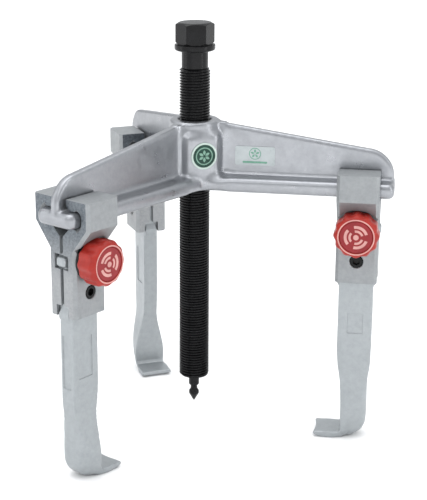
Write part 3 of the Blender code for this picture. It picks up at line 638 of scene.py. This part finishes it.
def make_tip():
    """Hardened centre point with its retaining groove and a ball-shaped shoulder."""
    end, point = THREAD_BOTTOM, TIP_POINT
    tip = turned([
        (0.0, end + 11.0 * MM), (2.9 * MM, end + 11.0 * MM), (2.9 * MM, end - GAP),
        (3.6 * MM, end - GAP), (3.9 * MM, end - 0.6 * MM), (3.9 * MM, end - 8.0 * MM),
        (3.6 * MM, end - 8.6 * MM), (2.6 * MM, end - 9.6 * MM), (2.5 * MM, end - 10.2 * MM),
        (2.5 * MM, end - 11.6 * MM), (2.7 * MM, end - 12.2 * MM),
        *arc(0.9 * MM, end - 14.9 * MM, 2.95 * MM, 42.0, -34.0, 8),
        (0.5 * MM, point + 0.25 * MM), (0.25 * MM, point + 0.06 * MM), (0.0, point)], 64)
    finish_piece(tip, "centre_point", "tip", BLACK, "centre_tip")


# ---- the crossbeam -------------------------
def flange_plan():
    """Plan of a flange with rounded end corners."""
    reach, half = ARM_REACH - FLANGE_CORNER, FLANGE_HALF - FLANGE_CORNER
    return ([(0.0, -FLANGE_HALF)] + arc(reach, -half, FLANGE_CORNER, -90.0, 0.0, 10)
            + arc(reach, half, FLANGE_CORNER, 0.0, 90.0, 10) + [(0.0, FLANGE_HALF)])


def rib_side():
    """Side view of a rib, whose top falls gently and turns down at the arm's end."""
    start, foot = HUB_R - 8.0 * MM, FLANGE_BOTTOM + 5.0 * MM
    return ([(start, foot), (RIB_REACH, foot)]
            + arc(RIB_REACH - RIB_END_RADIUS, RIB_TOP_AT_END - RIB_END_RADIUS, RIB_END_RADIUS,
                  0.0, 87.0, 24)
            + [(start, HUB_TOP - 0.5 * MM)])


def rib_foot_section():
    """Section of the concave foot between a rib and its flange."""
    out = RIB_HALF + FOOT_FILLET - 0.1 * MM
    right = [(out + 0.6 * MM, FLANGE_TOP - 1.0 * MM), (out + 0.6 * MM, FLANGE_TOP - 0.1 * MM)]
    right += arc(out, FLANGE_TOP + FOOT_FILLET - 0.1 * MM, FOOT_FILLET, 270.0, 180.0, 8)
    return right + [(-y, z) for y, z in reversed(right)]


def rib_root_plan():
    """Plan of the concave root between the hub and a rib."""
    out = RIB_HALF + ROOT_FILLET - 0.1 * MM
    centre = math.sqrt((HUB_R + ROOT_FILLET - 0.1 * MM) ** 2 - out ** 2)
    toward_hub = 180.0 + math.degrees(math.atan2(out, centre))
    upper = [(HUB_R - 6.0 * MM, 0.0)] + arc(centre, out, ROOT_FILLET, toward_hub, 270.0, 10)
    return upper + [(r, -y) for r, y in reversed(upper[1:])]


def pad_plan():
    """Plan of a flat pad between two arms, with sides that slope into the arms' roots."""
    right = [(PAD_FACE, PAD_HALF), (PAD_ROOT, PAD_ROOT_HALF), (SCREW_R + 1.5 * MM, PAD_ROOT_HALF)]
    return [(r, -y) for r, y in reversed(right)] + right


def hub_softness(place):
    """How softly a place on the beam is forged: the hub's walls are softer than its top or arms."""
    out = math.hypot(place.x, place.y)
    return (smooth((31.0 * MM - out) / (6.0 * MM)) * smooth((out - 13.5 * MM) / (2.0 * MM))
            * smooth((HUB_TOP - 3.0 * MM - place.z) / (4.0 * MM)))


def make_crossbeam():
    """Hub with three flanged arms, forged in one piece, then bored and countersunk."""
    rim = 1.8 * MM
    solids = [turned([
        (0.0, HUB_TOP), (HUB_R - rim, HUB_TOP),
        *arc(HUB_R - rim, HUB_TOP - rim, rim, 90.0, 0.0, 5), (HUB_R, FLANGE_BOTTOM + rim),
        (HUB_R - rim, FLANGE_BOTTOM), (0.0, FLANGE_BOTTOM)], 96)]
    for angle in ARMS.values():
        turn = Matrix.Rotation(math.radians(angle), 4, "Z")
        flange = ease(slab(flange_plan(), FLANGE_BOTTOM, FLANGE_TOP), FLANGE_ROUND, 5, 50.0)
        rib = ease(move(slab(rib_side(), -RIB_HALF, RIB_HALF), STAND_XZ), 1.4 * MM, 3, 60.0)
        foot = move(slab(rib_foot_section(), HUB_R - 9.0 * MM, RIB_REACH - 2.0 * MM), STAND_YZ)
        root = slab(rib_root_plan(), FLANGE_TOP - 2.0 * MM, HUB_TOP - 1.6 * MM)
        pad = ease(slab(pad_plan(), FLANGE_BOTTOM, PAD_TOP), 1.0 * MM, 3, 25.0)
        move(pad, Matrix.Rotation(math.radians(60.0), 4, "Z"))
        solids += [move(solid, turn) for solid in (flange, rib, foot, root, pad)]
    beam = forge(join("crossbeam_forged", *solids), 0.9 * MM, 11, hub_softness, 66)
    entry = 1.4 * MM
    bore = turned([
        (0.0, HUB_TOP + 5.0 * MM), (BORE_R + entry + 5.0 * MM, HUB_TOP + 5.0 * MM),
        (BORE_R, HUB_TOP - entry), (BORE_R, FLANGE_BOTTOM + entry),
        (BORE_R + entry + 5.0 * MM, FLANGE_BOTTOM - 5.0 * MM),
        (0.0, FLANGE_BOTTOM - 5.0 * MM)], 96)
    combine(beam, "DIFFERENCE", bore)
    finish_piece(beam, "crossbeam_forged", "crossbeam", BEAM_STEEL, "crossbeam",
                 50.0)


# ---- stickers ------------------------------
def stick(shape, name, place, material, node=None):
    """Put one piece of a badge or label in its place on the beam."""
    finish_piece(move(shape, place), name, "crossbeam", material, node)


def ring_sticker(name, inner, outer, low, high, place, material, node=None):
    """A flat ring or disc with eased edges, part of a printed badge."""
    edge = min(0.12 * MM, (high - low) / 3)
    if inner > 0.0:
        profile = [(inner, low), (outer, low), (outer, high - edge), (outer - edge, high),
                   (inner + edge, high), (inner, high - edge), (inner, low)]
    else:
        profile = [(0.0, low), (outer, low), (outer, high - edge), (outer - edge, high),
                   (0.0, high)]
    stick(turned(profile, 72), name, place, material, node)


def print_sticker(name, points, low, high, place, material):
    """A flat printed shape on a badge or label."""
    stick(slab(points, low, high), name, place, material)


def petal(turn, inner, outer, half):
    """A leaf-shaped outline that points away from the middle."""
    spread = Matrix.Rotation(turn, 2)
    points = []
    for side in (1.0, -1.0):
        for i in range(8):
            t = i / 8 if side > 0 else 1.0 - i / 8
            point = spread @ Vector((inner + (outer - inner) * t, side * half * math.sin(math.pi * t)))
            points.append((point.x, point.y))
    return points


def make_badge():
    """Round enamelled badge on the hub's pad: pale rim, green field and a plain rosette."""
    radius = half_height("hub_badge")
    centre = radial(BADGE_ANGLE) * (PAD_FACE + 0.2 * MM)
    centre.z = middle("hub_badge").z
    place = (Matrix.Translation(centre) @ Matrix.Rotation(math.radians(BADGE_ANGLE), 4, "Z")
             @ Matrix.Rotation(math.radians(90.0), 4, "Y"))
    rim, field, mark = 0.5 * MM, 0.5 * MM + 0.12 * MM, 0.5 * MM + 0.2 * MM     # heights of the layers
    ring_sticker("hub_badge_rim", 0.0, radius, 0.0, rim, place, BADGE_PALE, "hub_badge")
    ring_sticker("hub_badge_field", 0.0, radius * 0.86, rim, field, place, BADGE_GREEN)
    ring_sticker("hub_badge_ring", radius * 0.58, radius * 0.66, field, mark, place, BADGE_MINT)
    for i in range(6):
        points = petal(math.tau * i / 6, radius * 0.08, radius * 0.46, radius * 0.10)
        print_sticker(f"hub_badge_petal_{i}", points, field, mark, place, BADGE_MINT)


def rounded_rectangle(length, width, corner):
    """Outline of a rectangle with round corners, centred."""
    x, y = length / 2 - corner, width / 2 - corner
    return (arc(x, y, corner, 0.0, 90.0, 6) + arc(-x, y, corner, 90.0, 180.0, 6)
            + arc(-x, -y, corner, 180.0, 270.0, 6) + arc(x, -y, corner, 270.0, 360.0, 6))


def make_label():
    """Pale label on arm A's rib with a round green emblem and a bar under it."""
    low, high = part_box("arm_label")
    place = Matrix.Translation(((low.x + high.x) / 2, high.y, (low.z + high.z) / 2))
    place @= Matrix.Rotation(math.radians(90.0), 4, "X")
    length, width = high.x - low.x, high.z - low.z
    thick = 0.25 * MM
    plate = move(slab(rounded_rectangle(length, width, 1.6 * MM), 0.0, thick), place)
    finish_piece(plate, "arm_label_plate", "crossbeam", LABEL_PALE, "arm_label")
    up = place @ Matrix.Translation((0.0, width * 0.12, 0.0))
    ring_sticker("arm_label_ring", width * 0.27, width * 0.31, thick, thick + PRINT_THICK, up,
                 LEAF_GREEN)
    for i in range(5):
        points = petal(math.radians(90.0) + math.tau * i / 5, width * 0.04, width * 0.24,
                       width * 0.055)
        print_sticker(f"arm_label_leaf_{i}", points, thick, thick + PRINT_THICK, up, LEAF_GREEN)
    down = place @ Matrix.Translation((0.0, -width * 0.33, 0.0))
    print_sticker("arm_label_bar", rounded_rectangle(length * 0.62, width * 0.1, width * 0.045),
                  thick, thick + PRINT_THICK, down, LEAF_GREEN)


# ---- a jaw ---------------------------------
def cheek_section(side):
    """Front view of a cheek: (tangential, height) points, for one side."""
    out = FLANGE_HALF + GROOVE_GAP
    low, high = FLANGE_BOTTOM - GROOVE_GAP, FLANGE_TOP + GROOVE_GAP
    corner, relief = FLANGE_ROUND + GROOVE_GAP, 7.0 * MM
    points = [(LIP_INNER, CHEEK_TOP), (CHEEK_OUTER_UPPER, CHEEK_TOP),
              (CHEEK_OUTER_UPPER, CHEEK_SHOULDER)]
    points += [(CHEEK_OUTER_LOWER, CHEEK_WAIST), (CHEEK_OUTER_LOWER, CHEEK_BOTTOM),
               (SEAM_HALF, CHEEK_BOTTOM), (SEAM_HALF, low - relief), (SEAM_HALF + relief, low)]
    points += arc(out - corner, low + corner, corner, -90.0, 0.0, 6)
    points += arc(out - corner, high - corner, corner, 0.0, 90.0, 6)
    points += [(LIP_INNER + FOOT_FILLET, high), (LIP_INNER, high + FOOT_FILLET)]
    return [(side * y, z) for y, z in points]


def make_cheek(side, knob_side):
    """A clamp cheek in the jaw's frame, with its tang pocket, window, notch and holes."""
    cheek = move(slab(cheek_section(side), -CHEEK_HALF_WIDTH, CHEEK_HALF_WIDTH), STAND_YZ)
    chamfer_outer_edges(cheek, side, CHEEK_CHAMFER)
    ease(cheek, 0.5 * MM, 2, 50.0)
    pocket_half = SHANK_HALF_WIDTH + GAP
    wide = 30.0 * MM
    cutters = [
        box((-pocket_half, -SHANK_HALF_DEPTH - GAP, CHEEK_BOTTOM - 5.0 * MM),
            (pocket_half, SHANK_HALF_DEPTH + GAP, TANG_TOP + GAP)),
        box((-wide, -WINDOW_HALF, WINDOW_LOW), (wide, WINDOW_HALF, WINDOW_HIGH)),
        box((-wide, -NOTCH_HALF, CHEEK_BOTTOM - 5.0 * MM),
            (wide, NOTCH_HALF, CHEEK_BOTTOM + NOTCH_HEIGHT)),
        move(cylinder(CLAMP_HOLE_R, -wide, wide, 48),
             Matrix.Translation((0, 0, KNOB_Z)) @ outward(1)),
    ]
    if knob_side:
        at_lock = Matrix.Translation((0, 0, LOCK_Z)) @ outward(side)
        cutters += [
            move(cylinder(LOCK_HOLE_R, 0.0, wide, 48), at_lock),
            move(turned([(0.0, LOCK_FACE - 3.5 * MM), (LOCK_HEAD_R + GAP, LOCK_FACE - 3.5 * MM),
                         (LOCK_HEAD_R + GAP, CHEEK_OUTER_LOWER - 0.4 * MM),
                         (LOCK_HEAD_R + GAP + 1.4 * MM, CHEEK_OUTER_LOWER + 1.0 * MM),
                         (0.0, CHEEK_OUTER_LOWER + 1.0 * MM)], 64), at_lock),
            # Room for the knob to turn in, under the shoulder.
            move(cylinder(KNOB_R + 0.8 * MM, CHEEK_OUTER_LOWER + 0.02 * MM, 50.0 * MM, 96),
                 Matrix.Translation((0, 0, KNOB_Z)) @ outward(side)),
        ]
    return combine(cheek, "DIFFERENCE", *cutters)


def hook_side():
    """Side view of a hook: tang, shank, neck, finger and rounded heel."""
    half, tip = SHANK_HALF_WIDTH, -FINGER_REACH
    root, throat = 2.6 * MM, 7.4 * MM
    # (height, reach of the inner face, reach of the outer face) in millimetres.
    neck = [(66.0, 12.0, 12.25), (60.0, 11.5, 12.2), (54.0, 10.9, 12.0), (48.0, 9.8, 11.1),
            (43.0, 9.0, 10.6), (36.0, 8.4, 10.6), (30.0, 8.0, 10.6), (22.0, 7.7, 10.6)]
    points = [(half, TANG_TOP), (-half, TANG_TOP)]
    points += [(-inner * MM, level(height * MM)) for height, inner, _outer in neck]
    points += arc(-throat - root, FINGER_TOP + root, root, -5.0, -90.0, 6)
    points += [(tip + 0.6 * MM, FINGER_TOP - 0.5 * MM), (tip - 0.4 * MM, level(3.2 * MM)),
               (tip - 0.3 * MM, level(2.3 * MM)), (tip + 1.0 * MM, level(1.2 * MM)),
               (tip + 4.0 * MM, level(0.2 * MM)), (tip + 9.0 * MM, HEELS), (tip + 14.0 * MM, HEELS)]
    points += arc(HEEL_ARC_X * MM, level(HEEL_ARC_Z * MM), HEEL_ARC_R * MM, -75.0, 0.0, 14)
    points += [(outer * MM, level(height * MM)) for height, _inner, outer in reversed(neck)]
    return points


def hook_outer(height):
    """How far out of the jaw's middle a hook reaches at a height in millimetres."""
    if height > HEEL_ARC_Z:
        return (NECK_REACH + SHANK_SPREAD * smooth((height - 42.0) / 18.0)) * MM
    return (HEEL_ARC_X + math.sqrt(HEEL_ARC_R ** 2 - (HEEL_ARC_Z - height) ** 2)) * MM


def hook_half_depth(x, z):
    """How wide a hook is to each side at a place, from its height above the heels in mm.  Its
    inner part flares out to the finger's width, up to a ridge that slants inwards as it falls.
    A flank slopes from the ridge to the outer face, whose corner and underside are round."""
    height = max(0.2, (z - HEELS) / MM)
    flare = smooth((FLARE_START - height) / FLARE_FALL)
    inner = SHANK_HALF_DEPTH + (FOOT_HALF_DEPTH - SHANK_HALF_DEPTH) * flare
    flare = smooth((HEEL_START - height) / HEEL_FALL)
    heel = SHANK_HALF_DEPTH + (HEEL_HALF_DEPTH - SHANK_HALF_DEPTH) * flare
    down = min(1.0, max(0.0, (RIDGE_START - height) / RIDGE_FALL))
    outer = hook_outer(height)
    ridge = min((RIDGE_REACH - RIDGE_SLANT * down ** RIDGE_CURVE) * MM, outer - 0.2 * MM)
    slant = min(1.0, max(0.0, (x - ridge) / (outer - ridge)))
    half = inner + (heel - inner) * slant
    corner = (CORNER_LEAST + CORNER_GAIN * smooth(down / 0.5)) * MM
    past = min(1.0, max(0.0, (x - outer + corner) / corner))
    half -= corner * (1.0 - math.sqrt(1.0 - past ** 2))
    low = min(1.0, max(0.0, (UNDERSIDE - height) / UNDERSIDE))
    under = 0.33 * smooth((x + 16.0 * MM) / (16.0 * MM)) + 0.03
    return half * (1.0 - under * low ** 2)


def hook_flanks():
    """A solid as wide as the hook at each place, which trims the side view's slab."""
    heights = [TANG_TOP + 10.0 * MM, level(60.0 * MM)]
    heights += [level((54.0 - 54.0 * i / 27) * MM) for i in range(28)] + [HEELS - 5.0 * MM]
    # Stations are 1.8 mm apart along the finger, and 0.6 mm apart from there outwards.
    stations = [-36.0 + 16.0 * i / 9 for i in range(10)] + [-20.0 + 0.6 * i for i in range(1, 61)]
    rings = []
    for station in stations:
        x = station * MM
        right = [(x, hook_half_depth(x, z), z) for z in heights]
        rings.append(right + [(x, -y, z) for x, y, z in reversed(right)])
    return loft(rings)


def make_hook():
    """A forged hook in the jaw's frame, with the lugs that show in the cheeks' windows."""
    hook = move(slab(hook_side(), -20.0 * MM, 20.0 * MM), STAND_XZ)
    combine(hook, "INTERSECT", hook_flanks())
    radius = (FOOT_HALF_DEPTH ** 2 + FINGER_SCOOP ** 2) / (2 * FINGER_SCOOP)
    scoop = move(cylinder(radius, HEELS - 5.0 * MM, level(14.0 * MM), 192),
                 Matrix.Translation((-FINGER_REACH - 0.4 * MM - radius + FINGER_SCOOP, 0, 0)))
    combine(hook, "DIFFERENCE", scoop)
    lug_reach = CHEEK_HALF_WIDTH + 1.4 * MM
    lugs = ease(box((-lug_reach, -LUG_HALF, LUG_LOW), (lug_reach, LUG_HALF, LUG_HIGH)), 1.8 * MM, 3)
    foot, top = CHEEK_HALF_WIDTH - 0.6 * MM, CHEEK_HALF_WIDTH - 3.0 * MM
    shoulder = loft([[(x * half, y * wide, z) for x, y in ((-1, -1), (1, -1), (1, 1), (-1, 1))]
                     for half, wide, z in ((SHANK_HALF_WIDTH, 4.6 * MM, CHEEK_BOTTOM - 4.5 * MM),
                                           (foot, 4.6 * MM, CHEEK_BOTTOM - 1.5 * MM),
                                           (foot, 4.6 * MM, CHEEK_BOTTOM + 2.0 * MM),
                                           (top, 3.6 * MM, CHEEK_BOTTOM + 6.6 * MM))])
    hook = forge(join("hook_forged", hook, lugs, shoulder), 0.5 * MM, 3)
    panels = [box((-6.6 * MM, SHANK_HALF_DEPTH - PANEL_DEPTH, LONG_PANEL_LOW),
                  (6.4 * MM, SHANK_HALF_DEPTH + PANEL_DEPTH, LONG_PANEL_HIGH)),
              box((-5.2 * MM, -SHANK_HALF_DEPTH - PANEL_DEPTH, SHORT_PANEL_LOW),
                  (6.0 * MM, -SHANK_HALF_DEPTH + PANEL_DEPTH, SHORT_PANEL_HIGH)),
              box((SHANK_HALF_WIDTH - PANEL_DEPTH, -EDGE_PANEL_HALF, EDGE_PANEL_LOW),
                  (SHANK_HALF_WIDTH + PANEL_DEPTH, EDGE_PANEL_HALF, EDGE_PANEL_HIGH))]
    panels = [ease(panel, 0.35 * MM, 2) for panel in panels]
    holes = [move(cylinder(radius, -20.0 * MM, 20.0 * MM, 48),
                  Matrix.Translation((0, 0, z)) @ outward(1))
             for radius, z in ((CLAMP_HOLE_R, KNOB_Z), (LOCK_HOLE_R, LOCK_Z))]
    return combine(hook, "DIFFERENCE", *holes, *panels)


def make_knob():
    """A scalloped knob whose Z points out of the cheek, hollow under its cap."""
    lobes, around = 12, 144
    back, front = KNOB_BACK, KNOB_FACE
    shape = [  # radius short of the knob's, z, how deep the scallops are
        (1.6, back, 0.4), (0.6, back + 0.5 * MM, 0.8), (0.0, back + 1.6 * MM, 1.0),
        (0.0, front - 4.2 * MM, 1.0), (0.15, front - 3.2 * MM, 0.95), (0.6, front - 2.2 * MM, 0.8),
        (1.3, front - 1.2 * MM, 0.55), (2.2, front - 0.45 * MM, 0.25), (2.9, front - 0.1 * MM, 0.05),
        (3.3, front, 0.0),
    ]
    rings = []
    for short, z, depth in shape:
        ring = []
        for i in range(around):
            angle = math.tau * i / around
            wave = 0.5 - 0.5 * math.cos(lobes * angle)
            r = KNOB_R - short * MM - 1.1 * MM * depth * wave
            ring.append((r * math.cos(angle), r * math.sin(angle), z))
        rings.append(ring)
    for r, z in ((CAP_R + 0.3 * MM, front), (CAP_R, front - 0.3 * MM), (CAP_R, front - 1.2 * MM)):
        rings.append([(r * math.cos(math.tau * i / around), r * math.sin(math.tau * i / around), z)
                      for i in range(around)])
    return loft(rings)


def make_cap_print():
    """Pale print on a knob's cap: three curved bars round a small disc."""
    low, high = KNOB_FACE - 0.35 * MM, KNOB_FACE - 0.22 * MM
    pieces = [cylinder(1.9 * MM, low, high, 48)]
    for i in range(3):
        start = 120.0 * i + 18.0
        for inner, outer in ((3.6 * MM, 5.2 * MM), (6.4 * MM, 8.4 * MM)):
            pieces.append(slab(arc(0.0, 0.0, outer, start, start + 84.0, 20)
                               + arc(0.0, 0.0, inner, start + 84.0, start, 20), low, high))
    return join("cap_print", *pieces)


def make_lock_screw():
    """Sunk socket screw, Z out of the cheek."""
    face, head = LOCK_FACE, LOCK_FACE - 3.2 * MM
    screw = turned([
        (0.0, face), (LOCK_HEAD_R - 0.7 * MM, face),
        *arc(LOCK_HEAD_R - 0.5 * MM, face - 0.5 * MM, 0.5 * MM, 90.0, 0.0, 4),
        (LOCK_HEAD_R, head), (3.0 * MM, head), (3.0 * MM, -LOCK_END + 0.5 * MM),
        (2.5 * MM, -LOCK_END), (0.0, -LOCK_END)], 64)
    socket = cylinder(2.5 * MM / math.cos(math.pi / 6), face - 2.4 * MM, face + 5.0 * MM, 6)
    return combine(screw, "DIFFERENCE", socket)


def make_jaw(letter, parts):
    """One jaw, from the shared parts, set on its arm."""
    angle = ARMS[letter]
    along = radial(angle)
    across = Vector((-along.y, along.x, 0.0))
    side = 1 if middle("knob_" + letter).dot(across) > 0.0 else -1
    jaw = (Matrix.Rotation(math.radians(angle), 4, "Z")
           @ Matrix.Translation((middle("clamp_screw_" + letter).dot(along), 0.0, 0.0)))
    at_knob = jaw @ Matrix.Translation((0, 0, KNOB_Z)) @ outward(side)
    at_lock = jaw @ Matrix.Translation((0, 0, LOCK_Z)) @ outward(side)
    body = "jaw_" + letter
    for kind, rides, faces in (("knob_cheek", body, side),
                               ("back_cheek", "back_cheek_" + letter, -side)):
        cheek = copy_of(parts[kind, faces], kind)
        # The faces that point along the arm, the cheek's ends, get the painted shade.
        finish_piece(move(cheek, jaw), f"{kind}_{letter}_machined", rides, CHEEK_STEEL,
                     f"{kind}_{letter}", ends=(CHEEK_END_PAINTED_SHADE, along))
    hook = copy_of(parts["hook"], "hook")
    finish_piece(move(hook, jaw), f"hook_{letter}_forged", body, HOOK_STEEL,
                 "hook_" + letter, 50.0)
    lock = copy_of(parts["lock"], "lock")
    finish_piece(move(lock, at_lock), f"lock_screw_{letter}_socket", body, BLACK,
                 "lock_screw_" + letter)
    low, high = CHEEK_OUTER_LOWER + GAP, KNOB_BACK - GAP
    washer = turned([
        (CLAMP_HOLE_R, low), (WASHER_R, low), (WASHER_R, high - 0.5 * MM),
        (WASHER_R - 0.5 * MM, high), (CLAMP_HOLE_R + 0.3 * MM, high),
        (CLAMP_HOLE_R, high - 0.3 * MM), (CLAMP_HOLE_R, low)], 96)
    finish_piece(move(washer, at_knob), f"knob_washer_{letter}_turned", body, BLACK,
                 "knob_washer_" + letter)
    turning = "knob_" + letter
    knob = copy_of(parts["knob"], "knob")
    finish_piece(move(knob, at_knob), f"knob_{letter}_scalloped", turning, KNOB_RED,
                 "knob_" + letter)
    face = KNOB_FACE
    ring = turned([(CAP_R + 0.4 * MM, face), (CAP_R + 1.3 * MM, face),
                   (CAP_R + 1.25 * MM, face + 0.08 * MM), (CAP_R + 0.45 * MM, face + 0.08 * MM),
                   (CAP_R + 0.4 * MM, face)], 96)
    finish_piece(move(ring, at_knob), f"knob_{letter}_ring", turning, CAP_PALE)
    cap = turned([(0.0, face - 1.1 * MM), (CAP_R - 0.2 * MM, face - 1.1 * MM),
                  (CAP_R - 0.2 * MM, face - 0.6 * MM), (CAP_R - 0.5 * MM, face - 0.35 * MM),
                  (0.0, face - 0.35 * MM)], 96)
    finish_piece(move(cap, at_knob), f"knob_cap_{letter}_disc", turning, CAP_RED,
                 "knob_cap_" + letter)
    emblem = copy_of(parts["print"], "print")
    finish_piece(move(emblem, at_knob), f"knob_cap_{letter}_print", turning, CAP_PALE)
    stem = turned([
        (0.0, face - 6.0 * MM), (4.0 * MM, face - 6.0 * MM), (4.0 * MM, -CLAMP_END + 0.9 * MM),
        (3.6 * MM, -CLAMP_END + 0.3 * MM), (3.0 * MM, -CLAMP_END), (1.2 * MM, -CLAMP_END),
        (0.0, -CLAMP_END + 0.6 * MM)], 64)
    finish_piece(move(stem, at_knob), f"clamp_screw_{letter}_stem", turning, BRIGHT,
                 "clamp_screw_" + letter)


def make_jaws():
    """All three jaws."""
    parts = {"hook": make_hook(), "knob": make_knob(), "print": make_cap_print(),
             "lock": make_lock_screw()}
    for side in (1, -1):
        parts["knob_cheek", side] = make_cheek(side, True)
        parts["back_cheek", side] = make_cheek(side, False)
    for letter in ARMS:
        make_jaw(letter, parts)
    for shared in parts.values():
        bpy.data.objects.remove(shared, do_unlink=True)


# ---- the studio ----------------------------
CAMERA_PLACE = (0.16307, -0.92164, 0.12583)
CAMERA_YAW = math.radians(12.470)
CAMERA_PITCH = math.radians(-16.167)
CAMERA_ROLL = math.radians(0.514)
FLOOR_HALF = 20.0


def make_floor():
    """A wide sheet of white paper under the heels."""
    bm = bmesh.new()
    bmesh.ops.create_grid(bm, x_segments=8, y_segments=8, size=FLOOR_HALF,
                          matrix=Matrix.Translation((0, 0, HEELS - 0.1 * MM)))
    floor = from_bmesh("studio_floor", bm)
    floor.data.materials.append(studio_floor())


def make_world():
    """Soft room light: darker towards the horizon, bright overhead."""
    world = bpy.data.worlds.new("studio")
    bpy.context.scene.world = world
    world.use_nodes = True
    tree = world.node_tree
    place = tree.nodes.new("ShaderNodeTexCoord")
    split = tree.nodes.new("ShaderNodeSeparateXYZ")
    ramp = tree.nodes.new("ShaderNodeValToRGB")
    tree.links.new(place.outputs["Generated"], split.inputs["Vector"])
    tree.links.new(split.outputs["Z"], ramp.inputs["Fac"])
    tree.links.new(ramp.outputs["Color"], tree.nodes["Background"].inputs["Color"])
    stops = ramp.color_ramp.elements
    stops[0].position = 0.0
    stops[0].color = (0.50, 0.51, 0.52, 1.0)
    stops[1].position = 0.85
    stops[1].color = (0.98, 0.99, 1.0, 1.0)
    step = stops.new(0.42)
    step.color = (0.58, 0.59, 0.60, 1.0)
    tree.nodes["Background"].inputs["Strength"].default_value = 1.4


def hang_light(name, light, place, aim=(0.0, 0.0, -0.15)):
    """Put a light in the scene, aimed at the object, and keep it out of the picture."""
    made = bpy.data.objects.new(name, light)
    bpy.context.scene.collection.objects.link(made)
    made.location = place
    made.visible_camera = False
    made.rotation_euler = (Vector(aim) - Vector(place)).to_track_quat("-Z", "Y").to_euler()


def soft_box(name, azimuth, distance, height, width, tall, power):
    """A soft box beside the object; azimuth 0 is the camera's side, positive to its right."""
    light = bpy.data.lights.new(name, "AREA")
    light.shape = "RECTANGLE"
    light.size, light.size_y = width, tall
    light.energy = power
    turn = math.radians(azimuth) + CAMERA_YAW
    hang_light(name, light, (distance * math.sin(turn), -distance * math.cos(turn), height))


def overhead_light():
    """A wide even light from above, which the floor's white comes from."""
    light = bpy.data.lights.new("overhead", "SUN")
    light.energy = 1.15
    light.angle = math.radians(55.0)
    hang_light("overhead", light, (-0.15, 0.1, 1.0), (0.0, 0.0, 0.0))


def make_camera():
    """The camera, at the photograph's viewing angle."""
    data = bpy.data.cameras.new("camera")
    data.sensor_width = 36.0        # spans the picture's longer side, its height
    data.lens = 95.92
    data.shift_x = 0.147
    data.shift_y = -0.057
    camera = bpy.data.objects.new("camera", data)
    bpy.context.scene.collection.objects.link(camera)
    turn = (Matrix.Rotation(CAMERA_YAW, 4, "Z")
            @ Matrix.Rotation(math.radians(90.0) + CAMERA_PITCH, 4, "X")
            @ Matrix.Rotation(-CAMERA_ROLL, 4, "Z"))
    camera.matrix_world = Matrix.Translation(CAMERA_PLACE) @ turn
    bpy.context.scene.camera = camera


make_forcing_screw()
make_tip()
make_crossbeam()
make_badge()
make_label()
make_jaws()
make_floor()
make_world()
overhead_light()
soft_box("left_strip", azimuth=-86.0, distance=1.1, height=0.1, width=0.12, tall=1.1, power=1.3)
soft_box("right_strip", azimuth=62.0, distance=1.1, height=0.1, width=0.12, tall=1.1, power=2.4)
soft_box("front_key", azimuth=-35.0, distance=1.5, height=0.9, width=0.8, tall=0.8, power=4.0)
soft_box("low_fill", azimuth=8.0, distance=0.8, height=-0.27, width=1.2, tall=0.25, power=0.9)
make_camera()
bpy.context.scene.view_settings.view_transform = "Standard"
